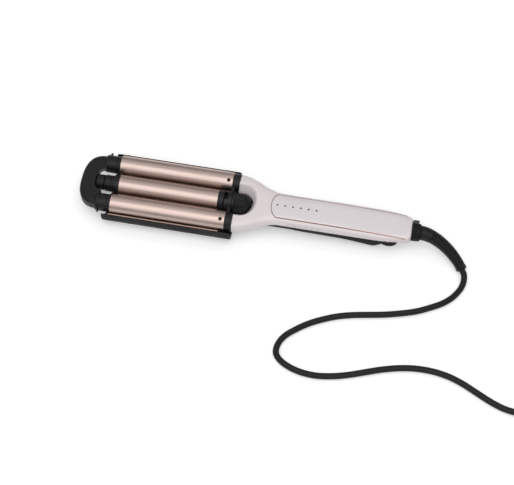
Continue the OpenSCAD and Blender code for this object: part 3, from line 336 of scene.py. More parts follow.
def cord_rubber(name, tint):
    """Soft cord jacket: matt, with a faint lengthwise scuff and dust."""
    finish = Finish(name, Base_Color=tint, Specular_IOR_Level=0.30)
    fine = finish.noise(1500.0, detail=2.0)
    dust = finish.band(finish.noise(60.0, detail=4.0), 0.5, 0.8)
    finish.put("Base Color", finish.mix(dust * 0.35, tint, shade(tint, 1.9)))
    finish.put("Roughness", 0.46 + fine * 0.10 + dust * 0.08)
    finish.bump(fine, 0.00004, 0.5)
    return finish.material


def machined(name, tint, rough=0.30):
    """Turned or plated metal with fine tool marks."""
    finish = Finish(name, Base_Color=tint, Metallic=1.0)
    marks = finish.noise(900.0, (1, 6, 6), detail=3.0)
    finish.put("Base Color", finish.mix(marks, shade(tint, 0.88), shade(tint, 1.08)))
    finish.put("Roughness", rough + marks * 0.12)
    finish.bump(marks, 0.00001, 0.5)
    return finish.material


def lens(name):
    """Dark smoked lens of an unlit indicator, its tone varied by a faint random swirl."""
    finish = Finish(name, Base_Color=(0.10, 0.085, 0.10), Roughness=0.12, Coat_Weight=0.6)
    swirl = finish.noise(700.0, detail=1.0)
    finish.put("Base Color", finish.mix(swirl, (0.075, 0.060, 0.078), (0.16, 0.14, 0.16)))
    return finish.material


def ceramic(name):
    """Fired heater ceramic with a grainy white surface."""
    finish = Finish(name, Base_Color=(0.72, 0.71, 0.66))
    grains = finish.noise(1800.0)
    finish.put("Base Color", finish.mix(grains, (0.62, 0.61, 0.56), (0.80, 0.79, 0.75)))
    finish.put("Roughness", 0.55 + grains * 0.2)
    return finish.material


def circuit(name):
    """Green board with darker track fields."""
    finish = Finish(name, Base_Color=(0.02, 0.12, 0.05))
    tracks = finish.add("ShaderNodeTexBrick", None,
                        {"Vector": finish.place(), "Scale": 260.0, "Mortar Size": 0.03}, out=1)
    finish.put("Base Color", finish.mix(tracks, (0.018, 0.11, 0.045), (0.05, 0.20, 0.09)))
    finish.put("Roughness", 0.35 + tracks * 0.1)
    return finish.material


def floor_finish(name, tint, glow=0.32):
    """Plain pale floor that shows white, with the waver's shadow left on it."""
    finish = Finish(name, Base_Color=tint, Roughness=0.9, Specular_IOR_Level=0.1)
    cloud = finish.noise(3.0, detail=2.0)
    finish.put("Base Color", finish.mix(cloud, shade(tint, 0.995), shade(tint, 1.005)))
    seen = finish.add("ShaderNodeLightPath", out="Is Camera Ray")
    mirrored = finish.add("ShaderNodeLightPath", out="Is Glossy Ray")
    through = finish.add("ShaderNodeLightPath", out="Is Transmission Ray")
    plain = Wire(finish, finish.shader.outputs[0])
    white = finish.add("ShaderNodeEmission", None, {"Color": (1.0, 1.0, 1.0), "Strength": glow})
    both = finish.add("ShaderNodeAddShader", None, {0: plain, 1: white})
    shown = finish.add("ShaderNodeMixShader", None, {0: seen + mirrored + through, 1: plain, 2: both})
    end = next(n for n in finish.tree.nodes if n.type == "OUTPUT_MATERIAL")
    finish.tree.links.new(shown.socket, end.inputs["Surface"])
    return finish.material


FINISHES = {}


def finishes():
    """Every material by its name, made once."""
    if FINISHES:
        return FINISHES
    c = bpy.context.scene.waver_colours
    FINISHES.update({
        "barrel": anodised("rose_gold_tube", tuple(c.rose_gold)),
        "plate": anodised("rose_gold_plate", tuple(c.rose_plate), 0.36),
        "trim": anodised("copper_trim", tuple(c.copper), 0.34),
        "pearl": pearl_plastic("pearl_shell", tuple(c.pearl)),
        "panel": pearl_plastic("pearl_panel", tuple(c.panel), 0.20, 0.6),
        "button": pearl_plastic("pearl_button", shade(tuple(c.panel), 0.94), 0.26, 0.4),
        "black": moulded("black_moulding", tuple(c.black), sheen=0.14),
        "satin": moulded("black_satin", tuple(c.black_satin), 0.36, 1500.0, 0.000015, 0.26),
        "gloss": moulded("black_gloss", tuple(c.black_satin), 0.20, 900.0, 0.000005),
        "rubber": cord_rubber("cord_rubber", tuple(c.rubber)),
        "grey": moulded("grey_moulding", tuple(c.grey), 0.42),
        "steel": machined("steel", tuple(c.steel)),
        "brass": machined("plated_brass", tuple(c.brass), 0.22),
        "aluminium": machined("aluminium", (0.62, 0.63, 0.65), 0.38),
        "lens": lens("smoked_lens"),
        "ceramic": ceramic("heater_ceramic"),
        "board": circuit("circuit_board"),
    })
    return FINISHES


# ---------- shaping ----------


def ease(x, a, b):
    """Smooth step from 0 at a to 1 at b."""
    return 0.0 if x <= a else 1.0 if x >= b else (1 - math.cos(math.pi * (x - a) / (b - a))) / 2


def spread(a, b, count):
    """Evenly spaced values from a to b."""
    return [a + (b - a) * i / (count - 1) for i in range(count)]


def closed_loop(bm, points):
    """Vertices and edges of one closed ring."""
    verts = [bm.verts.new(p) for p in points]
    return [bm.edges.new((verts[i - 1], verts[i])) for i in range(len(verts))]


def loft(bm, rings):
    """Skin over rings of points that run in the same sense, closed at both ends."""
    loops = [closed_loop(bm, ring) for ring in rings]
    for first, second in zip(loops, loops[1:]):
        bmesh.ops.bridge_loops(bm, edges=first + second)
    for loop in (loops[0], loops[-1]):
        bmesh.ops.contextual_create(bm, geom=loop)
    bmesh.ops.recalc_face_normals(bm, faces=bm.faces)
    return bm


def turned(profile, y=0.0, z=0.0, steps=96, closed=False):
    """Profile of (x, radius) points, spun about an axis along X."""
    bm = bmesh.new()
    verts = [bm.verts.new((x, y, z + r)) for x, r in profile]
    edges = [bm.edges.new(pair) for pair in zip(verts, verts[1:])]
    if closed:
        edges.append(bm.edges.new((verts[-1], verts[0])))
    bmesh.ops.spin(bm, geom=verts + edges, cent=(0, y, z), axis=(1, 0, 0), angle=2 * math.pi,
                   steps=steps, use_merge=True)
    bmesh.ops.remove_doubles(bm, verts=bm.verts, dist=1e-4)
    bmesh.ops.recalc_face_normals(bm, faces=bm.faces)
    return bm


def prism(outline, place, depth):
    """Closed outline of (u, v) points, put in space by place(u, v) and pushed by depth."""
    bm = bmesh.new()
    face = bm.faces.new([bm.verts.new(place(u, v)) for u, v in outline])
    out = bmesh.ops.extrude_face_region(bm, geom=[face])
    moved = [g for g in out["geom"] if isinstance(g, bmesh.types.BMVert)]
    bmesh.ops.translate(bm, vec=depth, verts=moved)
    bmesh.ops.recalc_face_normals(bm, faces=bm.faces)
    return bm


def block(x, y, z):
    """Box between two corners, given as ranges on X, Y and Z."""
    bm = bmesh.new()
    bmesh.ops.create_cube(bm, size=1)
    bmesh.ops.scale(bm, vec=(x[1] - x[0], y[1] - y[0], z[1] - z[0]), verts=bm.verts)
    bmesh.ops.translate(bm, vec=(sum(x) / 2, sum(y) / 2, sum(z) / 2), verts=bm.verts)
    return bm


def bar(start, end, radius, segments=48):
    """Round bar between two points."""
    bm = bmesh.new()
    start, end = Vector(start), Vector(end)
    axis = end - start
    bmesh.ops.create_cone(bm, cap_ends=True, segments=segments, radius1=radius, radius2=radius,
                          depth=axis.length)
    turn = axis.to_track_quat("Z", "Y").to_matrix().to_4x4()
    bmesh.ops.transform(bm, matrix=Matrix.Translation((start + end) / 2) @ turn, verts=bm.verts)
    return bm


def rounded(bm, width, segments=2, over=30.0, within=None):
    """Rounds the edges that turn by more than that angle."""
    edges = [e for e in bm.edges if len(e.link_faces) == 2
             and e.calc_face_angle(0) > math.radians(over) and (within is None or within(e))]
    if edges:
        bmesh.ops.bevel(bm, geom=edges, offset=width, offset_type="OFFSET", segments=segments,
                        profile=0.5, affect="EDGES", clamp_overlap=True, material=-1)
    return bm


def moved_by(bm, matrix):
    """Shape turned or shifted as a whole."""
    bmesh.ops.transform(bm, matrix=matrix, verts=bm.verts)
    return bm


def merged(*shapes):
    """Several shapes in one, without joining their surfaces."""
    whole = bmesh.new()
    for shape in shapes:
        mesh = bpy.data.meshes.new("part")
        shape.to_mesh(mesh)
        shape.free()
        whole.from_mesh(mesh)
        bpy.data.meshes.remove(mesh)
    return whole


def carved(shape, tools, operation="DIFFERENCE"):
    """Shape with each tool in turn cut from it, or joined to it."""
    for tool in tools:
        objects = []
        for bm in (shape, tool):
            mesh = bpy.data.meshes.new("carving")
            bm.to_mesh(mesh)
            bm.free()
            obj = bpy.data.objects.new("carving", mesh)
            bpy.context.scene.collection.objects.link(obj)
            objects.append(obj)
        boolean = objects[0].modifiers.new("carve", "BOOLEAN")
        boolean.operation, boolean.solver, boolean.object = operation, "EXACT", objects[1]
        shape = bmesh.new()
        shape.from_object(objects[0], bpy.context.evaluated_depsgraph_get())
        for obj in objects:
            mesh = obj.data
            bpy.data.objects.remove(obj)
            bpy.data.meshes.remove(mesh)
        bmesh.ops.remove_doubles(shape, verts=shape.verts, dist=2e-3)
        bmesh.ops.dissolve_degenerate(shape, edges=shape.edges, dist=1e-3)
    return shape


def solid_copy(node):
    """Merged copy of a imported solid, in millimetres, with its flat faces made whole."""
    bm = bmesh.new()
    bm.from_mesh(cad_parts[node].data)
    bmesh.ops.scale(bm, vec=(1 / MM,) * 3, verts=bm.verts)
    bmesh.ops.remove_doubles(bm, verts=bm.verts, dist=1e-3)
    bmesh.ops.dissolve_limit(bm, angle_limit=math.radians(0.4), verts=bm.verts, edges=bm.edges,
                             delimit={"NORMAL"})
    return bm


def piece(name, bm, finish, body, slot, *nodes, crease=32.0, weighted=False):
    """Makes the shape a named object of that finish, riding on a body and standing for nodes."""
    bmesh.ops.scale(bm, vec=(MM, MM, MM), verts=bm.verts)
    for face in bm.faces:
        face.smooth = True
    for edge in bm.edges:
        edge.smooth = len(edge.link_faces) == 2 and edge.calc_face_angle(0) < math.radians(crease)
    mesh = bpy.data.meshes.new(name)
    bm.to_mesh(mesh)
    bm.free()
    obj = bpy.data.objects.new(name, mesh)
    bpy.context.scene.collection.objects.link(obj)
    mesh.materials.append(finishes()[finish])
    if weighted:
        normals = obj.modifiers.new("weighted_normals", "WEIGHTED_NORMAL")
        normals.keep_sharp = True
    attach(obj, body)
    if nodes:
        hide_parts(*nodes)
    return obj


def repaint(finish, *nodes):
    """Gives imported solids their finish."""
    for node in nodes:
        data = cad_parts[node].data
        data.materials.clear()
        data.materials.append(finishes()[finish])


# ---------- the handle's form ----------

TAPER_LENGTH, END_LENGTH, FORK_LENGTH = 48, 3, 46
TAPER_X = HANDLE_X - TAPER_LENGTH
TAIL_X = HANDLE_X - 11.6
SHELL_BOTTOM = -3.5


def fork_share(x):
    """How far the section still belongs to the fork, from 1 at the front down to 0."""
    return 1 - ease(x, FORK_X, FORK_X + FORK_LENGTH)


def bottom_share(x):
    """How far the bottom is still lowered for the fork."""
    return 1 - ease(x, FORK_X, FORK_X + 36)


def tail_share(x):
    """How far the bottom is lowered again behind the lower arm."""
    return ease(x, TAIL_X - 0.6, TAIL_X)


def form_half(x):
    """Half width of the handle, tapered to the cord end and rounded off there."""
    half = GRIP_HALF + (FORK_HALF - GRIP_HALF) * fork_share(x)
    if x > TAPER_X:
        half -= 4.5 * ((x - TAPER_X) / TAPER_LENGTH) ** 3
    if x > HANDLE_X - END_LENGTH:
        half -= 2 * ((x - HANDLE_X + END_LENGTH) / END_LENGTH) ** 2
    return half


def form_top(x):
    """Height of the crown above the axis."""
    top = CROWN + (1 - ease(x, FORK_X, FORK_X + 34)) - 2.3 * ease(x, HANDLE_X - 83, HANDLE_X)
    if x > HANDLE_X - END_LENGTH:
        top -= 0.6 * ((x - HANDLE_X + END_LENGTH) / END_LENGTH) ** 2
    return top


def form_power(x):
    """Squareness of the section."""
    return 2.6 + 1.4 * fork_share(x)


def form_bottom(x):
    """Height of the shell's lower edge, below the axis."""
    return SHELL_BOTTOM - 5 * bottom_share(x) - 5.6 * tail_share(x)


def form_depth(x):
    """Depth of the curve that the lower edge cuts off."""
    return -form_bottom(x) + 2 - 1.3 * bottom_share(x) - tail_share(x)


def crown(x, y, proud=0.0):
    """Height of the handle's top surface at a point, above the resting surface."""
    half, power = form_half(x) + proud, form_power(x)
    share = min(1.0, abs(y) / half)
    return AXIS + (form_top(x) + proud) * (1 - share ** power) ** (1 / power)


def signed_power(value, power):
    """Power of a value that keeps its sign."""
    return math.copysign(abs(value) ** power, value)


def form_ring(x, grow=0.0, shrink=0.0):
    """Section of the handle at x; shrink rounds the ends of the shell over."""
    half, top = form_half(x) + grow - shrink, form_top(x) + grow - shrink
    power, depth = form_power(x), form_depth(x) + grow - shrink
    bottom = form_bottom(x) - grow + shrink
    low = math.asin((-bottom / depth) ** (power / 2))
    upper, side = 44, 6
    ring = []
    for i in range(upper + 1):
        f = math.pi * i / upper
        ring.append((x, half * signed_power(math.cos(f), 2 / power),
                     AXIS + top * max(0.0, math.sin(f)) ** (2 / power)))
    for i in range(1, side + 1):
        f = low * i / side
        ring.append((x, -half * math.cos(f) ** (2 / power), AXIS - depth * math.sin(f) ** (2 / power)))
    for i in range(side, 0, -1):
        f = low * i / side
        ring.append((x, half * math.cos(f) ** (2 / power), AXIS - depth * math.sin(f) ** (2 / power)))
    return ring


def form_stations(start, end):
    """Stations that lie closer together where the form turns."""
    marks = [FORK_X, FORK_X + FORK_LENGTH, TAPER_X, TAIL_X - 0.6, TAIL_X, HANDLE_X - END_LENGTH,
             HANDLE_X]
    xs = []
    for a, b, count in zip(marks, marks[1:], (24, 10, 15, 3, 6, 7)):
        xs += spread(a, b, count)[:-1]
    xs.append(HANDLE_X)
    inside = [x for x in xs if start + 0.3 < x < end - 0.3]
    return [start] + inside + [end]


def handle_block(grow, start, end, edge=0.0):
    """The handle's form between two stations, grown by an amount, its ends rounded by edge."""
    rings = []
    for x in form_stations(start, end):
        rings.append(form_ring(x, grow))
    if edge:
        lead = [(start + edge * (1 - math.cos(a)), edge * (1 - math.sin(a)))
                for a in spread(0, math.pi / 2, 5)]
        rings = ([form_ring(x, grow, s) for x, s in lead] + rings[1:-1]
                 + [form_ring(end - (x - start), grow, s) for x, s in reversed(lead)])
    return loft(bmesh.new(), rings)


def panel_half(x, grow=0.0):
    """Half width of the panel's plan at x."""
    start, end = PANEL_X0 - grow, PANEL_X0 + PANEL_ROUND
    half = PANEL_HALF + grow
    if x >= end:
        return half
    share = (end - x) / (end - start)
    return half * math.sqrt(max(0.0, 1 - share * share))


def panel_fade(x):
    """How far the panel stands proud at x, from 1 down to 0 where it meets the cord end."""
    return 1 - ease(x, PANEL_X1 - PANEL_FADE, PANEL_X1)


def panel_sheet(grow, rise, thick, edge=0.0, columns=34):
    """Sheet that follows the crown over the panel's plan, with a rounded rim."""
    start, end = PANEL_X0 - grow, PANEL_X1 + min(grow, 0.03)
    nose = [start + (PANEL_ROUND + grow) * (1 - math.cos(a)) for a in spread(0.04, math.pi / 2, 14)]
    xs = nose + spread(PANEL_X0 + PANEL_ROUND, end, 46)[1:]
    bm = bmesh.new()
    rows = []
    for x in xs:
        half = panel_half(x, grow)
        row = []
        for i in range(columns + 1):
            y = half * math.sin(math.pi * (i / columns - 0.5))
            rim = min(half - abs(y), x - start)
            drop = edge - math.sqrt(max(0.0, edge * edge - (edge - rim) ** 2)) if rim < edge else 0.0
            row.append(bm.verts.new((x, y, crown(x, y, PANEL_PROUD * panel_fade(x)) + rise - drop)))
        rows.append(row)
    faces = [bm.faces.new((a[i], a[i + 1], b[i + 1], b[i]))
             for a, b in zip(rows, rows[1:]) for i in range(columns)]
    out = bmesh.ops.extrude_face_region(bm, geom=faces)
    for vert in out["geom"]:
        if isinstance(vert, bmesh.types.BMVert):
            vert.co.z = crown(vert.co.x, vert.co.y, PANEL_PROUD * panel_fade(vert.co.x)) - thick
    bmesh.ops.recalc_face_normals(bm, faces=bm.faces)
    return bm


# ---------- operators ----------


class WAVER_OT_camera(bpy.types.Operator):
    """Sets up the camera at the photograph's viewpoint"""

    bl_idname = "waver.camera"
    bl_label = "Camera"

    def execute(self, context):
        data = bpy.data.cameras.new("camera")
        data.sensor_width, data.lens = 36.0, CAMERA_LENS
        data.clip_start, data.clip_end = 0.05, 20.0
        camera = bpy.data.objects.new("camera", data)
        turn = Matrix((CAMERA_RIGHT, -Vector(CAMERA_DOWN), -Vector(CAMERA_FORWARD))).transposed()
        camera.matrix_world = Matrix.Translation(CAMERA_PLACE) @ turn.to_4x4()
        context.scene.collection.objects.link(camera)
        context.scene.camera = camera
        return {"FINISHED"}


def curved(points, steps):
    """Smooth line through points, with that many steps between two of them."""
    pts = [Vector(p) for p in points]
    pts = [2 * pts[0] - pts[1]] + pts + [2 * pts[-1] - pts[-2]]
    line = []
    for a, b, c, d in zip(pts, pts[1:], pts[2:], pts[3:]):
        for i in range(steps):
            t = i / steps
            line.append(0.5 * ((2 * b) + (c - a) * t + (2 * a - 5 * b + 4 * c - d) * t * t
                               + (3 * b - a - 3 * c + d) * t ** 3))
    line.append(pts[-2])
    return line


def coil_point(turn):
    """Point of the coil after that many turns."""
    half = COIL_TURNS / 2
    radius = COIL_INNER + COIL_PITCH * abs(turn - half)
    outer = COIL_INNER + COIL_PITCH * half
    angle = 2 * math.pi * turn - math.pi / 2
    climb = ease(turn, half - 0.25, half + 0.25)
    return Vector((COIL_X + radius * math.cos(angle),
                   COIL_ENTRY[1] + outer + radius * math.sin(angle),
                   COIL_ENTRY[2] + COIL_PITCH * climb))


def cord_line():
    """Centre line of the whole cord, in millimetres."""
    steps = 32
    coil = [coil_point(i / steps) for i in range(int(COIL_TURNS * steps) + 1)]
    out = coil[-1]
    lead = [out, out + Vector((0, 8, -0.2)), Vector((out.x, out.y + 15, out.z + (PLUG_Z - out.z) * 0.6)),
            Vector((out.x, out.y + PLUG_LEAD - 6.5, PLUG_Z + 0.1)),
            Vector((out.x, out.y + PLUG_LEAD, PLUG_Z))]
    return curved(CORD_ROUTE, 5)[:-1] + [Vector(COIL_ENTRY)] + coil + curved(lead, 5)[1:]


def rings_along(line, radii, sides, first=None):
    """Rings of points square to a line, one radius for each point."""
    rings = []
    for i, (point, radius) in enumerate(zip(line, radii)):
        ahead, back = line[min(i + 1, len(line) - 1)], line[max(i - 1, 0)]
        way = Vector(first) if first and i == 0 else (ahead - back).normalized()
        side = Vector((0, 0, 1)).cross(way).normalized()
        up = way.cross(side)
        rings.append([point + radius * (math.cos(a) * side + math.sin(a) * up)
                      for a in (2 * math.pi * j / sides for j in range(sides))])
    return rings


def line_length(line):
    """Length of a line of points."""
    return sum((b - a).length for a, b in zip(line, line[1:]))


class WAVER_OT_cord(bpy.types.Operator):
    """Makes the mains cord with its coil, its tie and its plug"""

    bl_idname = "waver.cord"
    bl_label = "Cord, coil and plug"

    def execute(self, context):
        sizes = context.scene.waver_sizes
        line = cord_line()
        clean = [line[0]]
        for point in line[1:]:
            if (point - clean[-1]).length > 0.3:
                clean.append(point)
        radius = sizes.cord_diameter / MM / 2
        bm = loft(bmesh.new(), rings_along(clean, [radius] * len(clean), 14))
        cord = piece("mains_cord", bm, "rubber", "cord_set", "cord_rubber", "cord", "cord_coil",
                     crease=60)
        tie = self.tie()
        plug = self.plug()
        pins = self.pins()
        path = [tuple(p * MM) for p in clean]
        round(line_length(clean) * MM, 4)
        return {"FINISHED"}

    def tie(self):
        """Flat strap round the coil's turns, with its end tucked under a small bead."""
        bm = solid_copy("cord_tie")
        rounded(bm, 0.18)
        return piece("coil_strap", bm, "black", "cord_set", "black_plastic", "cord_tie")

    def plug(self):
        """Flat mains plug with a waisted grip and a ribbed neck."""
        low, high = solid_box("plug")
        x, y0 = (low.x + high.x) / 2, low.y
        half = (high.x - low.x) / 2
        outline = [(-7.5, 9), (7.5, 9), (12.6, 16.5), (half, 27), (half, 43), (-half, 43),
                   (-half, 27), (-12.6, 16.5)]
        body = prism([(u, v) for u, v in outline], lambda u, v: (x + u, y0 + v, low.z),
                     (0, 0, high.z - low.z))
        bmesh.ops.bevel(body, geom=[e for e in body.edges if abs(e.verts[0].co.z - e.verts[1].co.z) > 1],
                        offset=3.0, offset_type="OFFSET", segments=5, profile=0.5, affect="EDGES",
                        material=-1)
        rounded(body, 2.4, 4, over=50)
        neck_line = [Vector((x, y0 + t, PLUG_Z)) for t in spread(0, 11, 45)]
        radii = [3.8 + 1.2 * t / 44 - (0.55 if (t % 8) in (5, 6) and t < 40 else 0) for t in range(45)]
        neck = loft(bmesh.new(), rings_along(neck_line, radii, 32))
        return piece("mains_plug", carved(body, [neck], "UNION"), "rubber", "cord_set", "cord_rubber",
                     "plug", crease=40, weighted=True)

    def pins(self):
        """Two round pins with tapered tips."""
        low, high = solid_box("plug_pins")
        radius = (high.z - low.z) / 2
        pins = []
        for x in (low.x + radius, high.x - radius):
            profile = [(0, 0), (0, radius), (high.y - low.y - 2.0, radius),
                       (high.y - low.y - 0.6, radius * 0.72), (high.y - low.y, radius * 0.45),
                       (high.y - low.y, 0)]
            pin = turned(profile, steps=40)
            place = Matrix.Translation((x, low.y, PLUG_Z)) @ Matrix.Rotation(math.pi / 2, 4, "Z")
            pins.append(moved_by(pin, place))
        return piece("mains_plug_pins", merged(*pins), "brass", "cord_set", "pin_brass", "plug_pins")


class WAVER_OT_cord_end(bpy.types.Operator):
    """Makes the strain relief, the swivel and the sleeve round it"""

    bl_idname = "waver.cord_end"
    bl_label = "Strain relief and sleeve"

    def relief_point(self, t):
        """Point of the strain relief's bend, from 0 at the sleeve to 1 at the cord."""
        start = Vector((SLEEVE_X + 0.1, 0, SWIVEL_Z))
        push = start + Vector((RELIEF_PUSH, 0, -0.3))
        pull, end = Vector(RELIEF_PULL), Vector(RELIEF_END)
        return ((1 - t) ** 3 * start + 3 * (1 - t) ** 2 * t * push + 3 * (1 - t) * t * t * pull
                + t ** 3 * end)

    def execute(self, context):
        ribs = context.scene.waver_sizes.rib_count
        ts = spread(0, 1, 300)
        radii = [7.4 - 2.5 * t + 0.5 * ease(t, 0.93, 0.96) - (0.5 if t < 0.006 or t > 0.995 else 0)
                 for t in ts]
        line = [self.relief_point(t) for t in ts]
        rings = rings_along(line, radii, 48, first=(1, 0, 0))
        for t, centre, ring in zip(ts, line, rings):
            phase = (t - 0.20) / 0.73 * ribs
            groove = 1.1 * ease(abs(2 * (phase % 1) - 1), 0.25, 0.62) if 0 < phase < ribs else 0.0
            for j, point in enumerate(ring):
                share = ease(abs(math.sin(2 * math.pi * j / len(ring))), 0.34, 0.52)
                ring[j] = point + (centre - point).normalized() * groove * share
        bm = loft(bmesh.new(), rings)
        piece("ribbed_relief", bm, "rubber", "cord_set", "cord_rubber", "strain_relief", crease=50)
        profile = [(SLEEVE_X - 13.5, 4.6), (SLEEVE_X - 13.5, 5.7), (HANDLE_X + 0.05, 5.7),
                   (HANDLE_X + 0.05, 9.1), (HANDLE_X + 0.35, 9.4), (HANDLE_X + 2.2, 9.35),
                   (HANDLE_X + 2.4, 9.1), (HANDLE_X + 2.9, 9.1), (HANDLE_X + 3.1, 9.32),
                   (HANDLE_X + 4, 9.28), (SLEEVE_X - 1.4, 8.95), (SLEEVE_X - 0.5, 8.7),
                   (SLEEVE_X - 0.1, 8.25), (SLEEVE_X, 7.8), (SLEEVE_X, 4.9), (SLEEVE_X - 0.3, 4.6)]
        sleeve = turned(profile, z=SWIVEL_Z, closed=True, steps=120)
        rooms = [block((HANDLE_X - 1, SLEEVE_X + 1), (5.1, 14.4), (AXIS + 1.7, AXIS + 20)),
                 block((HANDLE_X - 1.1, SLEEVE_X + 1.1), (6.5, 14.5), (AXIS + 0.5, AXIS + 21))]
        piece("cord_sleeve_ring", carved(sleeve, rooms), "black", "handle", "black_plastic",
              "cord_sleeve", weighted=True)
        repaint("satin", "swivel_core")
        return {"FINISHED"}


class WAVER_OT_barrels(bpy.types.Operator):
    """Makes the three barrels and the screws at the outer ones' base"""

    bl_idname = "waver.barrels"
    bl_label = "Barrels"

    def tube(self, x0, x1, y, edge):
        """Barrel with rolled edges between two stations."""
        inner = BARREL_R - BARREL_WALL
        arc = [(edge * (1 - math.sin(a)), edge * (1 - math.cos(a))) for a in spread(0, math.pi / 2, 5)]
        left = [(x0 + u, BARREL_R - v) for u, v in arc]
        right = [(x1 - u, BARREL_R - v) for u, v in reversed(arc)]
        middle = [(x, BARREL_R) for x in spread(x0 + edge, x1 - edge, 8)[1:-1]]
        profile = [(x0, inner + 0.15)] + sorted(left, key=lambda p: p[1]) + middle \
            + sorted(right, key=lambda p: -p[1]) \
            + [(x1, inner + 0.15), (x1 - 0.15, inner), (x0 + 0.15, inner)]
        return turned(profile, y=y, z=AXIS, steps=128, closed=True)

    def screw_frame(self, side):
        """Place and tilt of the screw on one outer barrel."""
        return (Matrix.Translation((SCREW_X, side * PITCH, AXIS))
                @ Matrix.Rotation(math.radians(SCREW_TILT), 4, "X"))

    def execute(self, context):
        edge = context.scene.waver_sizes.barrel_edge / MM
        for name, node, side in (("near_tube", "near_barrel", -1), ("far_tube", "far_barrel", 1)):
            hole = moved_by(bar((0, 0, 8), (0, 0, 12), 1.9, 40), self.screw_frame(side))
            tube = carved(self.tube(TIP_X + TIP_STEP, BASE_X, side * PITCH, edge), [hole])
            piece(name, tube, "barrel", "handle", "barrel_metal", node, weighted=True)
        piece("middle_tube", self.tube(MID_TIP + TIP_STEP, MID_BASE, 0, edge), "barrel",
              "middle_barrel_set", "barrel_metal", "middle_barrel", weighted=True)
        screws = [moved_by(self.screw(), self.screw_frame(side)) for side in (-1, 1)]
        piece("barrel_screw_heads", merged(*screws), "satin", "handle", "steel", "barrel_screws")
        return {"FINISHED"}

    def screw(self):
        """Small dished head with a cross recess on a plain shank."""
        head = turned([(4.2, 0), (4.2, 0.9), (9.2, 0.9), (9.2, 1.8), (9.85, 1.8), (10.02, 1.6),
                       (10.08, 1.1), (9.95, 0)], steps=40)
        moved_by(head, Matrix.Rotation(-math.pi / 2, 4, "Y"))
        arm, thin, deep = (-1.15, 1.15), (-0.22, 0.22), (9.4, 11)
        return carved(head, [block(arm, thin, deep), block(thin, arm, deep)])


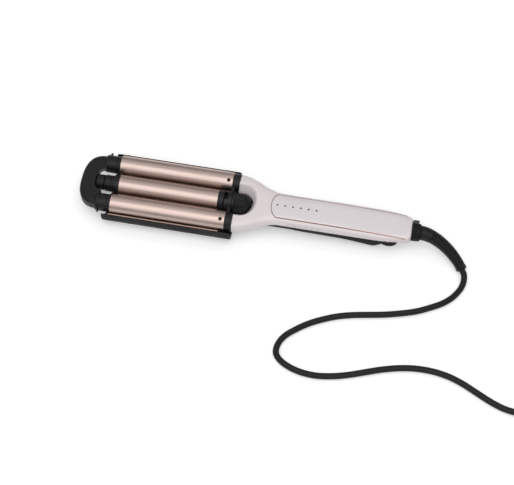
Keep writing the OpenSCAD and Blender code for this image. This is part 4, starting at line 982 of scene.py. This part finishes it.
class WAVER_OT_tip(bpy.types.Operator):
    """Makes the bow at the tip with its collars and fins, and the middle barrel's tip cap"""

    bl_idname = "waver.tip"
    bl_label = "Tip bow and cap"

    def bow_edge(self, angle, x, reach, half, power):
        """Place on the bow's outer or inner edge, at an angle from the tip."""
        return Vector((x - reach * signed_power(math.cos(angle), 2 / power),
                       half * signed_power(math.sin(angle), 2 / power), AXIS))

    def bow_section(self, angle):
        """Rounded section of the bow between its outer and its inner edge."""
        outer = self.bow_edge(angle, COLLAR_X, COLLAR_X - BOW_TIP_X, BOW_HALF, BOW_POWER)
        inner = self.bow_edge(angle, BOW_GAP_X, BOW_GAP_X - BOW_INNER_X, BOW_GAP_HALF, BOW_GAP_POWER)
        across, width = (inner - outer).normalized(), (inner - outer).length
        lean = BOW_LEAN * ease(math.sin(angle), 0.5, 0.95)
        slope, half = math.atan2(lean, BOW_THICK - BOW_LIP - BOW_FOOT), BOW_THICK / 2
        points = []
        for u, v, radius, start, end in (
                (width - BOW_LIP, half - BOW_LIP, BOW_LIP, -slope, math.pi / 2),
                (BOW_ROUND, half - BOW_ROUND, BOW_ROUND, math.pi / 2, math.pi),
                (BOW_ROUND, BOW_ROUND - half, BOW_ROUND, math.pi, 1.5 * math.pi),
                (width - lean - BOW_FOOT, BOW_FOOT - half, BOW_FOOT, -math.pi / 2, -slope)):
            for a in spread(start, end, 10):
                rise = Vector((0, 0, v + radius * math.sin(a)))
                points.append(outer + across * (u + radius * math.cos(a)) + rise)
        return points

    def execute(self, context):
        bow = loft(bmesh.new(), [self.bow_section(math.radians(a)) for a in spread(90, -90, 61)])
        extras = []
        for side in (-1, 1):
            collar = turned([(COLLAR_X - 2.6, 0), (COLLAR_X - 2.6, 6.2), (COLLAR_X - 1.3, 8.0),
                             (COLLAR_X - 0.3, 8.8), (COLLAR_X + 0.5, 9.0), (TIP_X - 2.6, 9.0),
                             (TIP_X - 2.4, 8.8), (TIP_X - 2.0, 8.8), (TIP_X - 1.8, 9.0),
                             (TIP_X + TIP_STEP - 0.35, 9.1), (TIP_X + TIP_STEP - 0.1, 8.7),
                             (TIP_X + 8, 8.7), (TIP_X + 8, 0)],
                            y=side * PITCH, z=AXIS, steps=72)
            root_x, root_y, root_z = COLLAR_X + 2.4, PITCH + 5.0, AXIS - 1.6
            fin = prism([(-4.4, 0), (2.2, 0), (0.7, 6.9), (0.0, 6.9)],
                        lambda u, v, s=side: (root_x + u, s * (root_y + v), root_z), (0, 0, 4.8))
            extras += [collar, rounded(fin, 0.3, 2)]
        whole = carved(bow, extras, "UNION")
        slot = rounded(block((BOW_INNER_X - 4.5, BOW_INNER_X + 4), (-1.95, 1.95),
                             (AXIS - 3.95, AXIS + 5.95)), 1.2, 3)
        piece("tip_bow", carved(whole, [slot]), "satin", "handle", "black_gloss", "tip_bridge",
              weighted=True)
        ring = MID_TIP - 4.2
        cap = turned([(NECK_X, 0), (NECK_X, NECK_R - 0.8), (NECK_X + 0.25, NECK_R - 0.3),
                      (NECK_X + 0.8, NECK_R),
                      (ring - 3.4, NECK_R), (ring - 3.2, NECK_R - 0.25), (ring - 2.8, NECK_R - 0.25),
                      (ring - 2.6, NECK_R), (ring, NECK_R),
                      (ring, 9.5), (ring + 0.25, 9.9), (ring + 0.7, 10.05),
                      (MID_TIP + TIP_STEP - 0.1, 10.05),
                      (MID_TIP + TIP_STEP - 0.1, 9.2), (MID_TIP + 8, 9.2), (MID_TIP + 8, 0)], z=AXIS)
        end = BOW_INNER_X + 0.7
        disc = turned([(end, 0), (end, 6.2), (end + 0.5, 7.2), (end + 1.3, 7.7), (NECK_X - 1.1, 7.9),
                       (NECK_X - 0.7, 7.6), (NECK_X - 0.7, 5.8), (NECK_X + 0.4, 5.8), (NECK_X + 0.4, 0)], z=AXIS)
        pin = rounded(bar((BOW_INNER_X - 4, 0, AXIS - 2), (NECK_X + 1, 0, AXIS - 2), 1.8), 0.35, 3)
        piece("middle_tip_end", carved(cap, [disc, pin], "UNION"), "satin", "middle_barrel_set",
              "black_gloss", "middle_tip_cap", weighted=True)
        return {"FINISHED"}


class WAVER_OT_base(bpy.types.Operator):
    """Makes the base bridge, the middle barrel's base cap and the small inner pieces' finishes"""

    bl_idname = "waver.base"
    bl_label = "Base bridge"

    def execute(self, context):
        width = context.scene.waver_sizes.edge_round / MM
        bm = rounded(solid_copy("base_bridge"), width * 0.8, 2, over=40)
        piece("base_cross_bridge", bm, "satin", "handle", "black_plastic", "base_bridge", weighted=True)
        bm = rounded(solid_copy("middle_base_cap"), width * 0.8, 2, over=40)
        piece("middle_base_end", bm, "satin", "middle_barrel_set", "black_plastic", "middle_base_cap",
              weighted=True)
        repaint("steel", "follower_pin", "bridge_screws", "hinge_pin", "hinge_spring")
        repaint("ceramic", "outer_heaters", "middle_heater", "jaw_heaters")
        repaint("aluminium", "outer_spreaders", "middle_spreaders")
        repaint("board", "circuit_board")
        repaint("grey", "button_switches")
        return {"FINISHED"}


class WAVER_OT_dial(bpy.types.Operator):
    """Makes the depth dial with its thumb ridge, grip flats and scroll groove"""

    bl_idname = "waver.dial"
    bl_label = "Depth dial"

    def execute(self, context):
        bm = solid_copy("depth_dial")
        rounded(bm, context.scene.waver_sizes.edge_round / MM * 0.6, 2, over=35)
        piece("thumb_dial", bm, "satin", "dial", "black_plastic", "depth_dial", weighted=True)
        return {"FINISHED"}


class WAVER_OT_upper_shell(bpy.types.Operator):
    """Makes the pearl upper shell with its fork and its openings"""

    bl_idname = "waver.upper_shell"
    bl_label = "Upper shell"

    def dial_room(self):
        """Room for the dial: its wall stands tallest at the dial's shaft, its top edge rounded over."""
        radius, lip, slope = DIAL_R + 0.9, ROOM_LIP, ROOM_SLOPE
        centre, lip_z = DIAL_END + 1.7 - radius, ROOM_TOP - lip
        arc = spread(math.pi / 2 + slope, math.pi / 2, 10)
        layers = [[] for _ in range(len(arc) + 3)]
        for turn in spread(-math.pi / 2, math.pi / 2, 49):
            start_z = ROOM_START + ROOM_WALL * math.cos(turn) ** 2
            lip_r = (radius + (lip_z + lip * math.cos(slope) - start_z) / math.tan(slope)
                     + lip * math.sin(slope))
            side = [(radius, -30), (radius, start_z)]
            side += [(lip_r + lip * math.cos(a), lip_z + lip * math.sin(a)) for a in arc] + [(lip_r, 30)]
            for layer, (r, z) in zip(layers, side):
                layer.append(Vector((centre + r * math.cos(turn), r * math.sin(turn), AXIS + z)))
        for layer in layers:
            front = FORK_X - 2
            layer.append(Vector((front, layer[-1].y, layer[-1].z)))
            layer.append(Vector((front, layer[0].y, layer[0].z)))
        return loft(bmesh.new(), layers)

    def execute(self, context):
        shell = handle_block(0, FORK_X, HANDLE_X, 0.7)
        tail = HANDLE_X - 5
        floor = TAIL_X - 1
        tools = [
            handle_block(-2.2, 24, tail),
            block((24, floor - 1), (-13.1, 13.1), (AXIS - 30, AXIS)),
            block((12 - 0.1, floor + 0.1), (-GRIP_HALF + 2.5, GRIP_HALF - 2.5),
                  (AXIS - 30, AXIS + SHELL_BOTTOM)),
            block((FORK_X - 1, 12.2), (-14.3, 14.3), (AXIS - 30, AXIS - 4.6)),
            self.dial_room(),
            self.pocket(context.scene.waver_sizes.trim_width / MM),
            bar((DIAL_END - 1, 0, AXIS), (DIAL_END + 8, 0, AXIS), 3.05),
            bar((tail - 2, 0, SWIVEL_Z), (HANDLE_X + 1, 0, SWIVEL_Z), 5.75),
            block((HANDLE_X - 5.9, HANDLE_X - 0.6), (6.5, 9.3), (AXIS + SHELL_BOTTOM - 0.1, AXIS + 2.7)),
            block((HANDLE_X - 6.0, HANDLE_X + 1), (6.45, 9.35), (AXIS + 0.5, AXIS + 2.75)),
        ]
        for x in BUTTON_XS.values():
            tools.append(self.button_hole(x))
        bm = carved(shell, tools)
        piece("pearl_upper_shell", bm, "pearl", "handle", "pearl_plastic", "handle_upper_shell",
              crease=28, weighted=True)
        return {"FINISHED"}

    def pocket(self, trim):
        """Tool for the panel's pocket: the plan from the pocket's floor upwards."""
        return panel_sheet(trim + 0.1, 12, PANEL_THICK + 0.05)

    def button_hole(self, x):
        """Round-ended hole for a button in the near wall."""
        outline = stadium(3.8 + 0.25, 1.7 + 0.25)
        return prism(outline, lambda u, v: (x + u, -GRIP_HALF - 2, BUTTON_Z + v), (0, 7, 0))


def stadium(reach, radius, steps=12):
    """Outline of a slot with round ends."""
    points = []
    for centre, start in ((reach - radius, -math.pi / 2), (-(reach - radius), math.pi / 2)):
        points += [(centre + radius * math.cos(start + a), radius * math.sin(start + a))
                   for a in spread(0, math.pi, steps)]
    return points


class WAVER_OT_panel(bpy.types.Operator):
    """Makes the top panel, its copper trim line and the indicator lights"""

    bl_idname = "waver.panel"
    bl_label = "Panel, trim and lights"

    def execute(self, context):
        sizes = context.scene.waver_sizes
        light = sizes.light_diameter / MM / 2
        holes = [bar((LIGHT_X0 + i * LIGHT_PITCH, 0, AXIS), (LIGHT_X0 + i * LIGHT_PITCH, 0, AXIS + 12),
                     light + 0.05, 32) for i in range(LIGHT_COUNT)]
        panel = carved(panel_sheet(0, 0, PANEL_THICK, 0.3), holes)
        piece("pearl_panel_top", panel, "panel", "handle", "panel_plastic", "control_panel",
              crease=25, weighted=True)
        piece("copper_trim_line", self.trim(sizes.trim_width / MM), "trim", "handle", "trim_metal",
              "panel_trim", crease=40)
        lights = []
        for i in range(LIGHT_COUNT):
            x = LIGHT_X0 + i * LIGHT_PITCH
            top = crown(x, 0, PANEL_PROUD)
            profile = [(AXIS + 3.1, 0), (AXIS + 3.1, light)]
            profile += [(top - 0.12 + 0.22 * math.sin(a), light * math.cos(a))
                        for a in spread(0, math.pi / 2, 7)]
            dome = turned(profile, steps=32)
            place = Matrix.Translation((x, 0, 0)) @ Matrix.Rotation(-math.pi / 2, 4, "Y")
            lights.append(moved_by(dome, place))
        piece("indicator_lenses", merged(*lights), "lens", "handle", "light_lens", "indicator_lights")
        return {"FINISHED"}

    def trim(self, width):
        """Raised line that follows the panel's plan, open at the cord end."""
        centre = []
        end = PANEL_X1 - 1
        for side in (1, -1):
            xs = spread(PANEL_X0 + PANEL_ROUND, end, 60)
            leg = [(x, side * (PANEL_HALF + 0.05)) for x in xs]
            nose = [(PANEL_X0 + PANEL_ROUND - (PANEL_ROUND + 0.05) * math.cos(a),
                     side * (PANEL_HALF + 0.05) * math.sin(a)) for a in spread(0, math.pi / 2, 20)[:-1]]
            centre.append(nose + leg)
        line = list(reversed(centre[0])) + centre[1][1:]
        rings = []
        for i, (x, y) in enumerate(line):
            a, b = line[max(i - 1, 0)], line[min(i + 1, len(line) - 1)]
            way = Vector((b[0] - a[0], b[1] - a[1])).normalized()
            out = Vector((way.y, -way.x))
            if out.x * (x - 90) + out.y * y < 0:
                out = -out
            ring = []
            wide = width * (0.3 + (0.1 if y > 0 else 0.7) * ease(x, PANEL_X0, PANEL_X1))
            for offset, rise in ((0, -1.4), (0, -0.05), (0.12, 0.08), (0.35, 0.15), (0.65, 0.15),
                                 (0.88, 0.05), (1, -0.15), (1, -1.4)):
                px, py = x + out.x * offset * wide, y + out.y * offset * wide
                ring.append((px, py, crown(px, py, PANEL_PROUD * panel_fade(x)) + rise))
            rings.append(ring)
        return loft(bmesh.new(), rings)


class WAVER_OT_buttons(bpy.types.Operator):
    """Makes the three side buttons with their marks"""

    bl_idname = "waver.buttons"
    bl_label = "Side buttons"

    def execute(self, context):
        for name, x in BUTTON_XS.items():
            face = -GRIP_HALF - 0.5
            cap = prism(stadium(3.8, 1.7, 16), lambda u, v: (x + u, face, BUTTON_Z + v), (0, 3.3, 0))
            rounded(cap, 0.35, 3, over=60, within=lambda e: max(v.co.y for v in e.verts) < face + 0.1)
            flange = prism(stadium(4.8, 2.7, 16), lambda u, v: (x + u, -15.15, BUTTON_Z + v), (0, 0.8, 0))
            stem = bar((x, -14.4, BUTTON_Z), (x, -13.9, BUTTON_Z), 1.2)
            bm = carved(carved(cap, [flange, stem], "UNION"), self.mark(name, x, face))
            piece(name + "_key", bm, "button", name, "button_plastic", name + "_button", weighted=True)
        return {"FINISHED"}

    def mark(self, name, x, face):
        """Engraved generic sign of a button."""
        deep = (face - 1, face + 0.14)
        strokes = []
        if name == "power":
            first, last = math.radians(125), math.radians(415)
            arc = [(1.0 * math.cos(a), 1.0 * math.sin(a)) for a in spread(first, last, 24)]
            arc += [(0.72 * math.cos(a), 0.72 * math.sin(a)) for a in spread(last, first, 24)]
            strokes.append(prism(arc, lambda u, v: (x + u, deep[0], BUTTON_Z + v), (0, deep[1] - deep[0], 0)))
            strokes.append(block((x - 0.14, x + 0.14), deep, (BUTTON_Z + 0.25, BUTTON_Z + 1.25)))
        else:
            strokes.append(block((x - 0.95, x + 0.95), deep, (BUTTON_Z - 0.14, BUTTON_Z + 0.14)))
            if name == "plus":
                strokes.append(block((x - 0.14, x + 0.14), deep, (BUTTON_Z - 0.95, BUTTON_Z + 0.95)))
        return strokes


class WAVER_OT_lower_shell(bpy.types.Operator):
    """Makes the black lower shell, its screws and the hinge lock"""

    bl_idname = "waver.lower_shell"
    bl_label = "Lower shell and lock"

    def execute(self, context):
        width = context.scene.waver_sizes.edge_round / MM
        piece("black_lower_shell", rounded(solid_copy("handle_lower_shell"), width * 0.5, 2, over=40),
              "black", "handle", "black_plastic", "handle_lower_shell", weighted=True)
        piece("grey_lock_slide", rounded(solid_copy("hinge_lock"), width * 0.5, 2, over=40), "grey",
              "lock", "grey_plastic", "hinge_lock", weighted=True)
        repaint("steel", "shell_screws", "cover_screws", "jaw_screws")
        return {"FINISHED"}


class WAVER_OT_lower_arm(bpy.types.Operator):
    """Makes the lower arm with its knuckle and its cover"""

    bl_idname = "waver.lower_arm"
    bl_label = "Lower arm"

    def execute(self, context):
        width = context.scene.waver_sizes.edge_round / MM
        arm = carved(solid_copy("lower_arm"), [self.fairing()], "UNION")
        piece("black_lower_arm", arm, "black", "lower_arm_set", "black_plastic", "lower_arm",
              crease=30, weighted=True)
        cover = rounded(solid_copy("arm_cover"), width * 0.5, 2, over=40)
        piece("black_arm_cover", cover, "black", "lower_arm_set", "black_plastic", "arm_cover",
              weighted=True)
        return {"FINISHED"}


    def fairing(self):
        """Widened stretch of the arm, which narrows again before the knuckle and the lock."""
        rings = []
        for x in spread(30, 135.6, 48):
            half = ARM_HALF + 1.05 * ease(x, 30, 60) - 5.2 * ease(x, 126, 140)
            top = ARM_TOP - 0.05
            base = -15.35 - 1.1 * ease(x, 30, 110) - 5.2 * ease(x, HINGE_X - 54, HINGE_X - 1)
            ring = []
            for cy, cz, radius, start in (
                    (half - 1.2, top - 1.2, 1.2, 0), (1.2 - half, top - 1.2, 1.2, 90),
                    (5.5 - half, base + 5.5, 5.5, 180), (half - 5.5, base + 5.5, 5.5, 270)):
                for a in spread(math.radians(start), math.radians(start + 90), 8):
                    ring.append((x, cy + radius * math.cos(a), AXIS + cz + radius * math.sin(a)))
            rings.append(ring)
        return loft(bmesh.new(), rings)


class WAVER_OT_jaw(bpy.types.Operator):
    """Makes the lower jaw and the waved plate in it"""

    bl_idname = "waver.jaw"
    bl_label = "Jaw and waved plate"

    def execute(self, context):
        width = context.scene.waver_sizes.edge_round / MM
        low, high = solid_box("jaw_housing")
        reach, climb, keel, run = 7.0, 11.0, 8.0, 20
        nose = [(low.x - 2, low.z - 2), (low.x + run, low.z - 2)]
        nose += [(low.x + reach * (1 - math.sin(a)), low.z + keel + climb * (1 - math.cos(a)))
                 for a in spread(0, math.pi / 2, 13)]
        nose += [(low.x - 2, low.z + keel + climb)]
        tool = prism(nose, lambda u, v: (u, low.y - 5, v), (0, high.y - low.y + 10, 0))
        jaw = carved(solid_copy("jaw_housing"), [tool])
        piece("black_jaw", rounded(jaw, width, 3, over=40), "black",
              "lower_arm_set", "black_plastic", "jaw_housing", weighted=True)
        piece("rose_wave_plate", rounded(solid_copy("wave_plate"), 0.2, 2, over=40), "plate",
              "lower_arm_set", "plate_metal", "wave_plate", weighted=True)
        return {"FINISHED"}


class WAVER_OT_stage(bpy.types.Operator):
    """Lays the floor and sets the lamps and the world"""

    bl_idname = "waver.stage"
    bl_label = "Stage"

    def execute(self, context):
        colours = context.scene.waver_colours
        bm = bmesh.new()
        bmesh.ops.create_grid(bm, x_segments=8, y_segments=8, size=6.0)
        bmesh.ops.translate(bm, vec=(0, 0, -0.0002), verts=bm.verts)
        mesh = bpy.data.meshes.new("floor")
        bm.to_mesh(mesh)
        bm.free()
        floor = bpy.data.objects.new("floor", mesh)
        mesh.materials.append(floor_finish("pale_floor", tuple(colours.floor)))
        context.scene.collection.objects.link(floor)
        world = bpy.data.worlds.new("studio")
        world.use_nodes = True
        back = next(n for n in world.node_tree.nodes if n.type == "BACKGROUND")
        back.inputs["Color"].default_value = (1.0, 1.0, 1.0, 1)
        back.inputs["Strength"].default_value = 0.33
        context.scene.world = world
        self.lamp("key_lamp", (0.05, -0.75, 1.45), 1.7, 13.8)
        self.lamp("sky_lamp", (-0.1, 0.35, 1.75), 2.6, 10.8)
        context.scene.view_settings.view_transform = "Standard"
        return {"FINISHED"}

    def lamp(self, name, place, width, power):
        """Square lamp that points at the waver."""
        data = bpy.data.lights.new(name, "AREA")
        data.shape, data.size, data.energy = "SQUARE", width, power
        lamp = bpy.data.objects.new(name, data)
        way = Vector((0.03, 0, 0.02)) - Vector(place)
        aim = way.to_track_quat("-Z", "Y").to_matrix().to_4x4()
        lamp.matrix_world = Matrix.Translation(place) @ aim
        bpy.context.scene.collection.objects.link(lamp)


OPERATORS = (
    WAVER_OT_camera, WAVER_OT_cord, WAVER_OT_cord_end, WAVER_OT_barrels, WAVER_OT_tip, WAVER_OT_base,
    WAVER_OT_dial, WAVER_OT_upper_shell, WAVER_OT_panel, WAVER_OT_buttons, WAVER_OT_lower_shell,
    WAVER_OT_lower_arm, WAVER_OT_jaw, WAVER_OT_stage,
)


class WAVER_PT_sidebar(bpy.types.Panel):
    """Sizes, colours and pieces of the waver"""

    bl_idname = "WAVER_PT_sidebar"
    bl_label = "Hair waver"
    bl_space_type = "VIEW_3D"
    bl_region_type = "UI"
    bl_category = "Waver"

    def draw(self, context):
        for group in (context.scene.waver_sizes, context.scene.waver_colours):
            box = self.layout.box()
            for name in group.bl_rna.properties.keys():
                if name not in ("rna_type", "name"):
                    box.prop(group, name)
        column = self.layout.column()
        for operator in OPERATORS:
            column.operator(operator.bl_idname)


CLASSES = (WaverSizes, WaverColours, *OPERATORS, WAVER_PT_sidebar)


def register():
    """Registers the add-on's classes and properties."""
    for cls in CLASSES:
        bpy.utils.register_class(cls)
    bpy.types.Scene.waver_sizes = PointerProperty(type=WaverSizes)
    bpy.types.Scene.waver_colours = PointerProperty(type=WaverColours)


def unregister():
    """Takes them away again."""
    del bpy.types.Scene.waver_colours
    del bpy.types.Scene.waver_sizes
    for cls in reversed(CLASSES):
        bpy.utils.unregister_class(cls)


def main():
    """Builds the waver step by step."""
    register()
    bpy.ops.waver.camera()
    bpy.ops.waver.cord()
    bpy.ops.waver.cord_end()
    bpy.ops.waver.barrels()
    bpy.ops.waver.tip()
    bpy.ops.waver.base()
    bpy.ops.waver.dial()
    bpy.ops.waver.upper_shell()
    bpy.ops.waver.panel()
    bpy.ops.waver.buttons()
    bpy.ops.waver.lower_shell()
    bpy.ops.waver.lower_arm()
    bpy.ops.waver.jaw()
    bpy.ops.waver.stage()


if __name__ == "__main__":
    main()
